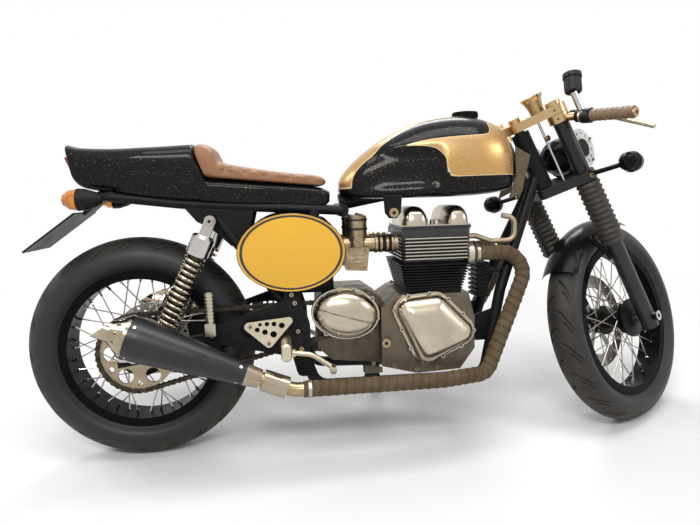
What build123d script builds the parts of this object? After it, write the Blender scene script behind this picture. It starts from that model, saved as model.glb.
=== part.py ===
from build123d import *
import math
import os

# Retro standard motorcycle with a parallel twin engine, parked on its side stand.
# X points forward, Y to the machine's left, Z up, in millimetres. Every piece is drawn
# with the machine upright and steering straight ahead, X = 0 midway between the axles.
# At the end the front is turned to its stop and the whole machine leaned and set down.

# Stance
WHEELBASE = 1490
RAKE = 26
TRAIL = 97
LEAN = 10
STEER_LOCK = 33
ORIGIN_X = 20
ORIGIN_Y = -111

# Wheels
REAR_TYRE_R = 320
FRONT_TYRE_R = 318
REAR_CROWN_R = 65
FRONT_CROWN_R = 52
AXLE_R = 10
AXLE_BORE_R = 6.5
SPOKE_COUNT = 40
SPOKE_R = 1.9
RIM_WALL = 12
RIM_FLANGE = 4
GAP = 0.3

# Brakes and chain
FRONT_DISC_R = 155
FRONT_DISC_Y = 66.3
REAR_DISC_R = 112
REAR_DISC_Y = 81.5
DISC_T = 5
CHAIN_Y = -84
CHAIN_W = 18
CHAIN_IN = 5
REAR_PITCH_R = 108.8
FRONT_PITCH_R = 45.7
DRIVE_SPROCKET = (-185, 395)

# Front fork, measured up the leg from the front axle
FORK_HALF = 105
LOWER_R = 24
LOWER_TOP = 265
GAITER_TOP = 470
STANCHION_R = 20.5
LOW_YOKE = 474
YOKE_T = 30
YOKE_END_R = 32
SHROUD_R = 22.5
CLAMP_LOW = 668
CLAMP_T = 25
TOP_YOKE = 694
TOP_YOKE_T = 26
STEM_R = 15
HEAD_R = 27
HEAD_LOW = 509
HEAD_TOP = 686

# Frame tubes
BACKBONE_R = 24
RAIL_R = 13
CRADLE_R = 16
RAIL_HALF = 96
PLATE_IN = 126
PLATE_OUT = 136

# Swingarm and shocks
PIVOT = (-300, 385)
ARM_IN = 100
ARM_OUT = 124
ARM_H = 46
SHOCK_Y = 142
SHOCK_LOW = (-668, 362)
SHOCK_TOP = (-519, 684)
SPRING_R = 29
SPRING_COILS = 11
SEAT_LOW = 42
SEAT_TOP = 256

# Engine
CASE_HALF = 120
DECK_Z = 455
HEAD_Z = 548
COVER_Z = 640
FIN_T = 3.2
BARREL_PITCH = 8
HEAD_PITCH = 9.6
PORT_Z = 563
PORT_Y = 85

# Exhaust
PIPE_R = 21
PIPE_Y = 200
SILENCER_Y = 225
SILENCER_START = (-400, 268)
SILENCER_RISE = 22

# Bodywork
TANK_LOW = 730
PLATE_SIDE_Y = 156

rake = math.radians(RAKE)
REAR_AXLE = Vector(-WHEELBASE / 2, 0, REAR_TYRE_R)
FRONT_AXLE = Vector(WHEELBASE / 2, 0, FRONT_TYRE_R)
STEER_FOOT = Vector(WHEELBASE / 2 + TRAIL, 0, 0)
STEER_UP = Vector(-math.sin(rake), 0, math.cos(rake))
STEER_FWD = Vector(math.cos(rake), 0, math.sin(rake))
YOKE_OFFSET = FRONT_TYRE_R * math.sin(rake) - TRAIL * math.cos(rake)


def side_plane(y):
    """Plane seen from the machine's right: local x and y are X and Z, extrudes run to -Y."""
    return Plane(origin=(0, y, 0), x_dir=(1, 0, 0), z_dir=(0, -1, 0))


def fork_plane(height):
    """Plane across the fork: local x is forward of the legs, local y is Y."""
    return Plane(origin=FRONT_AXLE + STEER_UP * height, x_dir=STEER_FWD, z_dir=STEER_UP)


def fork_point(height, forward, y):
    """Point of the straight-ahead fork from its own three measures."""
    return FRONT_AXLE + STEER_UP * height + STEER_FWD * forward + Vector(0, y, 0)


def rod(start, end, radius, mode=Mode.ADD):
    """Round bar between two points."""
    start = Vector(start)
    run = Vector(end) - start
    with BuildSketch(Plane(origin=start, z_dir=run)) as section:
        Circle(radius)
    extrude(section.sketch, amount=run.length, mode=mode)


def tube(points, radius, bend):
    """Round bar along straight runs joined by tangent bends."""
    with BuildLine() as path:
        FilletPolyline(*points, radius=bend)
    with BuildSketch(Plane(origin=path.line @ 0, z_dir=path.line % 0)) as section:
        Circle(radius)
    sweep(section.sketch, path=path.line)


def slab(y_start, y_end, outline, mode=Mode.ADD):
    """Side-view polygon with its thickness between two Y values."""
    with BuildSketch(side_plane(max(y_start, y_end))) as section:
        Polygon(*outline)
    extrude(section.sketch, amount=abs(y_end - y_start), mode=mode)


def hull_slab(y_start, y_end, circles, mode=Mode.ADD):
    """Side-view hull of circles (x, z, radius) with its thickness between two Y values."""
    with BuildSketch(side_plane(max(y_start, y_end))) as section:
        for x, z, radius in circles:
            with Locations((x, z)):
                Circle(radius)
        make_hull()
    extrude(section.sketch, amount=abs(y_end - y_start), mode=mode)


def turned(centre, profile):
    """Ring about an axle from (radius, Y) points."""
    with BuildSketch(Plane(centre)) as section:
        Polygon(*profile)
    revolve(section.sketch, axis=Axis(centre, (0, 1, 0)))


def turned_along(start, end, profile, mode=Mode.ADD):
    """Body turned about a slanting line from (distance along, radius) points."""
    start = Vector(start)
    along = (Vector(end) - start).normalized()
    across = along.cross(Vector(0, 1, 0)).normalized()
    with BuildSketch(Plane(origin=start, x_dir=along, z_dir=along.cross(across))) as section:
        Polygon(*profile)
    revolve(section.sketch, axis=Axis(start, along), mode=mode)


def lofted(rows, ruled=False):
    """Body through upright sections with rounded corners, from the tail towards the nose."""
    sections = []
    for row in rows:
        half = row["half"]
        low = row["low"]
        high = row["high"]
        with BuildSketch(Plane(origin=(row["x"], 0, 0), x_dir=(0, 1, 0), z_dir=(1, 0, 0))) as section:
            with BuildLine():
                FilletPolyline((-half, low), (half, low), (half, high), (-half, high),
                               radius=[row["low_r"], row["low_r"], row["top_r"], row["top_r"]], close=True)
            make_face()
        sections.append(section.sketch)
    loft(sections, ruled=ruled)


def slanted(start, end, distance):
    """Point at a distance from the start of a line towards its end."""
    start = Vector(start)
    return start + (Vector(end) - start).normalized() * distance


# Setting the machine down: steer, lean, then pitch and lift until both tyres touch Z = 0
STEERED = Location(STEER_FOOT) * Location((0, 0, 0), STEER_UP, STEER_LOCK) * Location(-STEER_FOOT)


def tyre_lowest(place, axle, radius, crown):
    """Lowest Z of a tyre whose crown is round, once it is placed."""
    centre = (place * Location(axle)).position
    tilt = ((place * Location(axle + Vector(0, 1, 0))).position - centre).Z
    return centre.Z - (radius - crown) * math.sqrt(1 - tilt ** 2) - crown


pitch = 0
PARKED = Location((0, 0, 0), (-LEAN, 0, 0))
for step in range(4):
    rear_low = tyre_lowest(PARKED, REAR_AXLE, REAR_TYRE_R, REAR_CROWN_R)
    front_low = tyre_lowest(PARKED * STEERED, FRONT_AXLE, FRONT_TYRE_R, FRONT_CROWN_R)
    pitch = pitch + math.degrees(math.atan((front_low - rear_low) / WHEELBASE))
    PARKED = Location((0, 0, 0), (0, pitch, 0)) * Location((0, 0, 0), (-LEAN, 0, 0))
rear_low = tyre_lowest(PARKED, REAR_AXLE, REAR_TYRE_R, REAR_CROWN_R)
PARKED = Location((ORIGIN_X, ORIGIN_Y, -rear_low)) * PARKED
FRONT_PLACE = PARKED * STEERED

os.makedirs("parts", exist_ok=True)


def save(label, part, place):
    """Put a finished piece where it stands and write it."""
    placed = part.moved(place)
    placed.label = label
    export_step(placed, "parts/" + label + ".step")


# Wheels: tyre, rim, laced spokes and hub from one table
WHEELS = (
    dict(
        name="rear", axle=REAR_AXLE, place=PARKED, tyre_r=REAR_TYRE_R, crown_r=REAR_CROWN_R,
        crown_angles=(10, 33, 58, 90), seat_r=216, flange_r=228, rim_half=46,
        hub_r=78, hub_y=38, lace=34,
        hub=((60, -80.7), (60, -42), (78, -42), (78, -34), (52, -34), (52, 34), (78, 34),
             (78, 42), (50, 42), (50, 81.2)),
    ),
    dict(
        name="front", axle=FRONT_AXLE, place=FRONT_PLACE, tyre_r=FRONT_TYRE_R,
        crown_r=FRONT_CROWN_R, crown_angles=(8, 24, 52, 90), seat_r=228.6, flange_r=240,
        rim_half=33, hub_r=48, hub_y=33.5, lace=40,
        hub=((22, -70), (60, -60), (60, -54), (30, -46), (30, -37), (48, -37), (48, -30),
             (28, -30), (28, 30), (48, 30), (48, 37), (42, 37), (42, 66)),
    ),
)

for wheel in WHEELS:
    axle = wheel["axle"]
    core_r = wheel["tyre_r"] - wheel["crown_r"]
    bead = wheel["rim_half"] - GAP
    half = [(wheel["seat_r"] + GAP, bead), (wheel["flange_r"] + 2, bead)]
    for angle in reversed(wheel["crown_angles"]):
        reach = wheel["crown_r"]
        rise = core_r + reach * math.cos(math.radians(angle))
        half.append((rise, reach * math.sin(math.radians(angle))))
    mirrored = [(radius, -y) for radius, y in reversed(half)]
    with BuildPart() as tyre:
        turned(axle, half + mirrored)
    save(wheel["name"] + "_tyre", tyre.part, wheel["place"])

    seat = wheel["seat_r"]
    lip = wheel["flange_r"]
    wall = wheel["rim_half"]
    edge = wall + RIM_FLANGE
    inner = seat - RIM_WALL
    with BuildPart() as rim:
        turned(axle, [(inner, edge), (lip, edge), (lip, wall), (seat, wall),
                      (seat, -wall), (lip, -wall), (lip, -edge), (inner, -edge)])
    save(wheel["name"] + "_rim", rim.part, wheel["place"])

    with BuildPart() as spokes:
        for number in range(SPOKE_COUNT):
            flange = 1 - 2 * (number % 2)
            lead = 1 - 2 * ((number // 2) % 2)
            rim_angle = math.radians(number * 360 / SPOKE_COUNT)
            hub_angle = rim_angle - lead * math.radians(wheel["lace"])
            hub_out = wheel["hub_r"] + SPOKE_R
            rim_out = inner - 0.8
            hub_y = flange * (wheel["hub_y"] + lead * 2.4)
            start = axle + Vector(hub_out * math.cos(hub_angle), hub_y, hub_out * math.sin(hub_angle))
            rim_y = flange * (8 + lead * 2.4)
            end = axle + Vector(rim_out * math.cos(rim_angle), rim_y, rim_out * math.sin(rim_angle))
            with BuildSketch(Plane(origin=start, z_dir=end - start)):
                RegularPolygon(SPOKE_R, 6)
            extrude(amount=(end - start).length)
    save(wheel["name"] + "_spokes", spokes.part, wheel["place"])

    bore = AXLE_R + GAP
    profile = list(wheel["hub"])
    with BuildPart() as hub:
        turned(axle, [(bore, profile[0][1])] + profile + [(bore, profile[-1][1])])
    save(wheel["name"] + "_hub", hub.part, wheel["place"])

# Brake discs: a rubbing ring carried by arms on the hub boss
DISCS = (
    dict(name="front_disc", axle=FRONT_AXLE, place=FRONT_PLACE, y=FRONT_DISC_Y,
         outer=FRONT_DISC_R, inner=112, boss=42, arms=6, rings=((123, 0), (143, 10))),
    dict(name="rear_disc", axle=REAR_AXLE, place=PARKED, y=REAR_DISC_Y,
         outer=REAR_DISC_R, inner=78, boss=50, arms=5, rings=((87, 0), (102, 10))),
)
DRILLED = 18
DRILL_R = 4.5
for row in DISCS:
    with BuildPart() as disc:
        with BuildSketch(side_plane(row["y"] + DISC_T)):
            with Locations((row["axle"].X, row["axle"].Z)):
                Circle(row["outer"])
                Circle(row["inner"], mode=Mode.SUBTRACT)
                Circle(row["boss"])
                for arm in range(row["arms"]):
                    Rectangle(row["inner"] + 4, 18, rotation=arm * 360 / row["arms"],
                              align=(Align.MIN, Align.CENTER))
                Circle(AXLE_R + 4, mode=Mode.SUBTRACT)
                for ring_r, start_angle in row["rings"]:
                    with PolarLocations(ring_r, DRILLED, start_angle=start_angle):
                        Circle(DRILL_R, mode=Mode.SUBTRACT)
        extrude(amount=DISC_T)
    save(row["name"], disc.part, row["place"])

# Rear sprocket: toothed edge just under the chain, large openings round the carrier
SPROCKET_TEETH = 43
sprocket_tip = REAR_PITCH_R - CHAIN_IN - GAP
with BuildPart() as sprocket:
    with BuildSketch(side_plane(CHAIN_Y + 3)):
        with Locations((REAR_AXLE.X, REAR_AXLE.Z)):
            RegularPolygon(sprocket_tip, SPROCKET_TEETH)
            Circle(AXLE_R + 4, mode=Mode.SUBTRACT)
        with Locations((REAR_AXLE.X, REAR_AXLE.Z)):
            with PolarLocations(74, 6):
                Circle(21, mode=Mode.SUBTRACT)
            with PolarLocations(86, 6, start_angle=30):
                Circle(7, mode=Mode.SUBTRACT)
    extrude(amount=6)
save("rear_sprocket", sprocket.part, PARKED)

# Drive chain: a roller band round both sprockets between two rows of rounded link plates
CHAIN_PITCH = 15.875
LINK_R = 7
LINK_T = 3.2
chain_loop = ((REAR_AXLE.X, REAR_AXLE.Z, REAR_PITCH_R), DRIVE_SPROCKET + (FRONT_PITCH_R,))
chain_near = CHAIN_Y + CHAIN_W / 2
chain_far = CHAIN_Y - CHAIN_W / 2
with BuildSketch() as pitch_hull:
    for x, z, radius in chain_loop:
        with Locations((x, z)):
            Circle(radius)
    make_hull()
pitch_line = pitch_hull.sketch.faces()[0].outer_wire()
link_count = 2 * round(pitch_line.length / (2 * CHAIN_PITCH))
with BuildPart() as chain:
    hull_slab(chain_near, chain_far, [(x, z, r + CHAIN_IN) for x, z, r in chain_loop])
    hull_slab(chain_near, chain_far, [(x, z, r - CHAIN_IN) for x, z, r in chain_loop], Mode.SUBTRACT)
    for face_y in (chain_near, chain_far + LINK_T):
        with BuildSketch(side_plane(face_y)):
            for number in range(link_count):
                pin = pitch_line @ (number / link_count)
                with Locations((pin.X, pin.Y)):
                    Circle(LINK_R)
        extrude(amount=LINK_T)
save("drive_chain", chain.part, PARKED)

# Hollow axles with a head on each end
AXLES = (
    dict(name="rear_axle", axle=REAR_AXLE, place=PARKED, half=ARM_OUT + GAP, head=15, plate=34),
    dict(name="front_axle", axle=FRONT_AXLE, place=FRONT_PLACE, half=FORK_HALF + LOWER_R + GAP,
         head=15, plate=0),
)
ADJUSTER_T = 6
ADJUSTER_R = 12
for row in AXLES:
    end = row["half"] + 14
    half = row["half"]
    head = row["head"]
    with BuildPart() as axle_bar:
        turned(row["axle"], [(AXLE_BORE_R, -end), (head, -end), (head, -half), (AXLE_R, -half),
                             (AXLE_R, half), (head, half), (head, end), (AXLE_BORE_R, end)])
        if row["plate"]:
            middle = row["axle"]
            ends = [(middle.X + reach, middle.Z, ADJUSTER_R) for reach in (-row["plate"], row["plate"])]
            hull_slab(half, half + ADJUSTER_T, ends)
            hull_slab(-half, -half - ADJUSTER_T, ends)
            rod(middle - Vector(0, end, 0), middle + Vector(0, end, 0), AXLE_BORE_R, Mode.SUBTRACT)
    save(row["name"], axle_bar.part, row["place"])

# Fork: lower legs with the axle bore, ribbed gaiters, stanchions and shrouds
with BuildPart() as lowers:
    for side in (-1, 1):
        rod(fork_point(-34, 0, side * FORK_HALF), fork_point(LOWER_TOP, 0, side * FORK_HALF), LOWER_R)
    rod(FRONT_AXLE + Vector(0, 160, 0), FRONT_AXLE - Vector(0, 160, 0), AXLE_R + GAP, Mode.SUBTRACT)
save("fork_lowers", lowers.part, FRONT_PLACE)

GAITER_RIBS = 12
GAITER_CREST = 36
GAITER_ROOT = 31
rib = (GAITER_TOP - LOWER_TOP - 2 * GAP) / (2 * GAITER_RIBS)
with BuildPart() as gaiters:
    for side in (-1, 1):
        outline = [(0, STANCHION_R + GAP), (0, GAITER_ROOT)]
        for number in range(GAITER_RIBS):
            outline.append(((2 * number + 1) * rib, GAITER_CREST))
            outline.append(((2 * number + 2) * rib, GAITER_ROOT))
        outline.append((2 * GAITER_RIBS * rib, STANCHION_R + GAP))
        low = fork_point(LOWER_TOP + GAP, 0, side * FORK_HALF)
        turned_along(low, low + STEER_UP, outline)
save("fork_gaiters", gaiters.part, FRONT_PLACE)

# Fork crown: lower yoke with the stem that turns in the head tube, and the shrouded upper tubes
with BuildPart() as fork_crown:
    with BuildSketch(fork_plane(LOW_YOKE)):
        for x, y, radius in ((0, -FORK_HALF, YOKE_END_R), (0, FORK_HALF, YOKE_END_R), (-YOKE_OFFSET, 0, 30)):
            with Locations((x, y)):
                Circle(radius)
        make_hull()
    extrude(amount=YOKE_T)
    rod(fork_point(LOW_YOKE + 1, -YOKE_OFFSET, 0), fork_point(TOP_YOKE + 1, -YOKE_OFFSET, 0), STEM_R)
    for side in (-1, 1):
        rod(fork_point(LOWER_TOP + GAP, 0, side * FORK_HALF),
            fork_point(TOP_YOKE + TOP_YOKE_T + 4, 0, side * FORK_HALF), STANCHION_R)
        rod(fork_point(LOW_YOKE + 1, 0, side * FORK_HALF),
            fork_point(CLAMP_LOW - GAP, 0, side * FORK_HALF), SHROUD_R)
save("fork_crown", fork_crown.part, FRONT_PLACE)

with BuildPart() as top_yoke:
    with BuildSketch(fork_plane(TOP_YOKE + GAP)):
        for x, y, radius in ((0, -FORK_HALF, 31), (0, FORK_HALF, 31), (-YOKE_OFFSET, 0, 28)):
            with Locations((x, y)):
                Circle(radius)
        make_hull()
        with Locations((40, 0)):
            Circle(46, mode=Mode.SUBTRACT)
        with Locations((0, -FORK_HALF), (0, FORK_HALF)):
            Circle(STANCHION_R + GAP, mode=Mode.SUBTRACT)
        with Locations((-YOKE_OFFSET, 0)):
            Circle(STEM_R + GAP, mode=Mode.SUBTRACT)
    extrude(amount=TOP_YOKE_T)
    rod(fork_point(TOP_YOKE + 2, -YOKE_OFFSET, 0),
        fork_point(TOP_YOKE + TOP_YOKE_T + 14, -YOKE_OFFSET, 0), 17)
save("top_yoke", top_yoke.part, FRONT_PLACE)

# Clip-on bars, grips, levers and the brake fluid reservoir
BAR_R = 11
GRIP_R = 17
bar_height = CLAMP_LOW + CLAMP_T / 2
BAR_RUN = Vector(-6, -215, -68)


def bar_point(side, share):
    """Point along a bar, from its clamp (0) to its end (1)."""
    reach = Vector(BAR_RUN.X, -side * BAR_RUN.Y, BAR_RUN.Z) * share
    return fork_point(bar_height, 0, side * FORK_HALF) + reach


with BuildPart() as bars:
    for side in (-1, 1):
        rod(bar_point(side, 0), bar_point(side, 1), BAR_R)
    with BuildSketch(fork_plane(CLAMP_LOW)):
        with Locations((0, -FORK_HALF), (0, FORK_HALF)):
            Circle(31)
    extrude(amount=CLAMP_T)
    with BuildSketch(fork_plane(CLAMP_LOW - 20)):
        with Locations((0, -FORK_HALF), (0, FORK_HALF)):
            Circle(STANCHION_R + GAP)
    extrude(amount=CLAMP_T + 40, mode=Mode.SUBTRACT)
    for side in (-1, 1):
        rod(fork_point(LOW_YOKE, 0, side * FORK_HALF), fork_point(CLAMP_LOW, 0, side * FORK_HALF),
            SHROUD_R + GAP, Mode.SUBTRACT)
save("clip_on_bars", bars.part, FRONT_PLACE)

with BuildPart() as grips:
    for side in (-1, 1):
        rod(bar_point(side, 0.48), bar_point(side, 1.02), GRIP_R)
        rod(bar_point(side, 0.3), bar_point(side, 1.0), BAR_R + GAP, Mode.SUBTRACT)
save("grips", grips.part, FRONT_PLACE)

LEVER_OUT = STEER_FWD * 48 - STEER_UP * 24
LEVER_DROP = STEER_UP * -34
with BuildPart() as levers:
    for side in (-1, 1):
        rod(bar_point(side, 0.33), bar_point(side, 0.46), 19)
        rod(bar_point(side, 0.395), bar_point(side, 0.4) + LEVER_OUT * 0.8, 9)
        tube([bar_point(side, 0.38) + LEVER_OUT * 0.8, bar_point(side, 0.62) + LEVER_OUT,
              bar_point(side, 1.08) + LEVER_OUT + LEVER_DROP], 6.5, 60)
    for side in (-1, 1):
        rod(bar_point(side, 0.2), bar_point(side, 1.0), BAR_R + GAP, Mode.SUBTRACT)
save("control_levers", levers.part, FRONT_PLACE)

RESERVOIR_R = 22
RESERVOIR_H = 54
RESERVOIR_LIP = 4
perch = bar_point(-1, 0.36)
reservoir_low = perch + Vector(-30, 0, 66)
reservoir_top = reservoir_low + Vector(8, 0, RESERVOIR_H)
with BuildPart() as reservoir:
    turned_along(reservoir_low, reservoir_top,
                 [(0, 0), (0, RESERVOIR_R), (RESERVOIR_H - 12, RESERVOIR_R),
                  (RESERVOIR_H - 12, RESERVOIR_R + RESERVOIR_LIP), (RESERVOIR_H, RESERVOIR_R + RESERVOIR_LIP),
                  (RESERVOIR_H, 0)])
    rod(perch + Vector(-7, 0, 18), reservoir_low + Vector(1, 0, 8), 9)
    rod(bar_point(-1, 0.2), bar_point(-1, 0.6), 19 + GAP, Mode.SUBTRACT)
save("brake_reservoir", reservoir.part, FRONT_PLACE)

# Single flared gauge cup standing on the right arm of the top yoke
GAUGE = fork_point(TOP_YOKE + TOP_YOKE_T + 2 * GAP, -4, -52)
with BuildPart() as gauge:
    turned_along(GAUGE, GAUGE + STEER_UP,
                 [(0, 0), (0, 21), (16, 22), (36, 27), (44, 32), (50, 33), (50, 28), (45, 26), (45, 0)])
save("gauge", gauge.part, FRONT_PLACE)

# Headlamp: a small bowl held by its side bosses in two drilled rings on the fork tubes
LAMP = Vector(584, 0, 855)
LAMP_R = 60
BOSS_R = 28
RING_R = 62
RING_HOLES = 12
RING_NEAR = 84
RING_FAR = 89
with BuildPart() as lamp_shell:
    turned_along(LAMP, LAMP + Vector(1, 0, 0),
                 [(-56, 0), (-52, 24), (-36, 46), (-8, 58), (24, LAMP_R), (24, 66), (36, 66), (42, 57),
                  (38, 55), (22, 55), (22, 0)])
    for side in (-1, 1):
        rod(LAMP + Vector(-8, side * 40, 0), LAMP + Vector(-8, side * (RING_FAR + 4), 0), BOSS_R)
save("headlamp_shell", lamp_shell.part, FRONT_PLACE)

with BuildPart() as lamp_lens:
    turned_along(LAMP, LAMP + Vector(1, 0, 0),
                 [(22 + GAP, 0), (22 + GAP, 55 - GAP), (38, 55 - GAP), (46, 32), (50, 0)])
save("headlamp_lens", lamp_lens.part, FRONT_PLACE)

ring_centre = LAMP - Vector(8, 0, 0)
with BuildPart() as lamp_brackets:
    for side in (-1, 1):
        near = side * RING_NEAR
        far = side * RING_FAR
        for height in (596, 534):
            lug = fork_point(height, 15, 0)
            hull_slab(near, far, [(lug.X, lug.Z, 12), (ring_centre.X, ring_centre.Z, 30)])
        hull_slab(near, far, [(ring_centre.X, ring_centre.Z, RING_R)])
        with BuildSketch(side_plane(max(near, far))):
            with Locations((ring_centre.X, ring_centre.Z)):
                Circle(BOSS_R + GAP)
                with PolarLocations((BOSS_R + RING_R) / 2, RING_HOLES):
                    Circle(5.5)
        extrude(amount=RING_FAR - RING_NEAR, mode=Mode.SUBTRACT)
    for side in (-1, 1):
        rod(fork_point(LOW_YOKE, 0, side * FORK_HALF), fork_point(TOP_YOKE, 0, side * FORK_HALF),
            SHROUD_R + GAP, Mode.SUBTRACT)
save("headlamp_brackets", lamp_brackets.part, FRONT_PLACE)

# Front indicators on stalks below the lamp
with BuildPart() as front_indicators:
    for side in (-1, 1):
        root = fork_point(LOW_YOKE + YOKE_T / 2, 0, side * (FORK_HALF + YOKE_END_R + 1.5 * GAP))
        tip = root + Vector(0, side * 92, 0)
        rod(root, tip, 7)
        turned_along(tip + Vector(-36, side * 18, 0), tip + Vector(0, side * 18, 0),
                     [(0, 0), (4, 14), (16, 25), (40, 30), (58, 26), (66, 14), (70, 0)])
save("front_indicators", front_indicators.part, FRONT_PLACE)

# Front mudguard: an arched section swept round the tyre, with stays to the legs
GUARD_R = FRONT_TYRE_R + 12
GUARD_START = 80
GUARD_ARC = 70
GUARD_HALF = 60
GUARD_DROP = 26
GUARD_T = 2.5
with BuildPart() as mudguard:
    start_plane = Plane(FRONT_AXLE).rotated((0, -GUARD_START, 0))
    with BuildSketch(start_plane):
        with BuildLine():
            inside = ThreePointArc((GUARD_R - GUARD_DROP, -GUARD_HALF), (GUARD_R, 0),
                                   (GUARD_R - GUARD_DROP, GUARD_HALF))
            outside = ThreePointArc((GUARD_R - GUARD_DROP, -GUARD_HALF - GUARD_T), (GUARD_R + GUARD_T, 0),
                                    (GUARD_R - GUARD_DROP, GUARD_HALF + GUARD_T))
            Line(inside @ 0, outside @ 0)
            Line(inside @ 1, outside @ 1)
        make_face()
    revolve(axis=Axis(FRONT_AXLE, (0, -1, 0)), revolution_arc=GUARD_ARC)
    for side in (-1, 1):
        for back in (-36, 34):
            rod(fork_point(306, back, side * (GUARD_HALF + 1)),
                fork_point(222, back / 2, side * (FORK_HALF - 16)), 7)
    for side in (-1, 1):
        rod(fork_point(120, 0, side * FORK_HALF), fork_point(LOWER_TOP, 0, side * FORK_HALF), LOWER_R + GAP,
            Mode.SUBTRACT)
save("front_mudguard", mudguard.part, FRONT_PLACE)

# Front caliper behind the left leg, slotted for the disc
with BuildPart() as front_caliper:
    with BuildSketch(fork_plane(78)):
        with Locations((-LOWER_R - GAP - 32, FRONT_DISC_Y + DISC_T / 2 + 7)):
            Rectangle(64, 58)
    extrude(amount=84)
    rod(FRONT_AXLE + Vector(0, FRONT_DISC_Y - 3, 0), FRONT_AXLE + Vector(0, FRONT_DISC_Y + DISC_T + 3, 0),
        FRONT_DISC_R + 5, Mode.SUBTRACT)
    rod(fork_point(60, 0, FORK_HALF), fork_point(180, 0, FORK_HALF), LOWER_R + GAP, Mode.SUBTRACT)
save("front_caliper", front_caliper.part, FRONT_PLACE)

# Front brake hose from the caliper up the left leg to the lower yoke
with BuildPart() as brake_hose:
    tube([fork_point(162 + GAP, -60, 84), fork_point(250, -64, 80), fork_point(400, -64, 80),
          fork_point(LOW_YOKE - 2.4, -58, 44)], 5, 30)
save("front_brake_hose", brake_hose.part, FRONT_PLACE)

# Side stand hinge, placed on the parked machine so that the foot meets the ground
STAND_HINGE = Vector(-60, 150, 193)
STAND_FOLDED = Vector(-0.985, 0.05, -0.16)
STAND_PIVOT = (PARKED * Location(STAND_HINGE)).position
STAND_FOOT = Vector(STAND_PIVOT.X + 46, STAND_PIVOT.Y + 108, 0)
stand_folded = (PARKED * Location(STAND_HINGE + STAND_FOLDED)).position - STAND_PIVOT
STAND_AXIS = (STAND_FOOT - STAND_PIVOT).cross(stand_folded).normalized()
lug_end = (PARKED.inverse() * Location(STAND_PIVOT - STAND_AXIS * (12 + GAP))).position
lug_root = (PARKED.inverse() * Location(STAND_PIVOT - STAND_AXIS * 42)).position

# Main frame
head_low = fork_point(HEAD_LOW, -YOKE_OFFSET, 0)
head_top = fork_point(HEAD_TOP, -YOKE_OFFSET, 0)
spine_front = slanted(head_low, head_top, 84)
SPINE_BACK = Vector(-160, 0, 722)
down_top = slanted(head_low, head_top, 50)
GUSSET = [(366, 872), (412, 846), (386, 736), (346, 716), (368, 786)]
GUSSET_IN = 40
GUSSET_OUT = 44
with BuildPart() as frame:
    rod(head_low, head_top, HEAD_R)
    rod(spine_front, SPINE_BACK, BACKBONE_R)
    rod((-160, -RAIL_HALF, 700), (-160, RAIL_HALF, 700), 18)
    tube([(-160, RAIL_HALF, 700), (-600, RAIL_HALF, 731), (-822, RAIL_HALF - 8, 760),
          (-822, 8 - RAIL_HALF, 760), (-600, -RAIL_HALF, 731), (-160, -RAIL_HALF, 700)], RAIL_R, 40)
    for side in (-1, 1):
        tube([down_top, (311, side * 66, 450), (250, side * 92, 196), (-250, side * 116, 206),
              (-284, side * 116, 300)], CRADLE_R, 50)
        rod((-306, side * 118, 470), (-238, side * RAIL_HALF, 704), CRADLE_R)
        rod((-326, side * 118, 436), (-505, side * (RAIL_HALF + 6), 690), RAIL_R)
        hull_slab(side * PLATE_IN, side * PLATE_OUT, [PIVOT + (36,), (-284, 262, 22), (-312, 474, 22)])
        slab(side * 110, side * PLATE_IN, [(-300, 240), (-268, 240), (-268, 310), (-300, 310)])
        slab(side * 110, side * PLATE_IN, [(-330, 436), (-296, 436), (-296, 490), (-330, 490)])
        slab(side * RAIL_HALF, side * (RAIL_HALF + 10),
             [(-596, 726), (-560, 682), (-520, 660), (-470, 612), (-430, 612), (-404, 716)])
        rod((SHOCK_TOP[0], side * RAIL_HALF, SHOCK_TOP[1]),
            (SHOCK_TOP[0], side * (SHOCK_Y + 22), SHOCK_TOP[1]), 8)
        slab(side * GUSSET_IN, side * GUSSET_OUT, GUSSET)
        slab(side * 70, side * 78, [(214.6, 300), (214.6, 372), (300, 400), (280, 300)])
        slab(side * 112, side * 122, [(-120, 200), (-60, 200), (-70, 232), (-110, 232)])
    rod((PIVOT[0], -PLATE_OUT, PIVOT[1]), (PIVOT[0], PLATE_OUT, PIVOT[1]), 9)
    rod((384, -GUSSET_IN - 2, 818), (384, GUSSET_IN + 2, 818), 11)
    rod(lug_root, lug_end, 12)
    slab(104, 124, [(-86, 212), (-86, 162), (-34, 162), (-34, 212)])
    rod(slanted(head_low, head_top, -40), slanted(head_low, head_top, 240), STEM_R + GAP, Mode.SUBTRACT)
save("main_frame", frame.part, PARKED)

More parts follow.
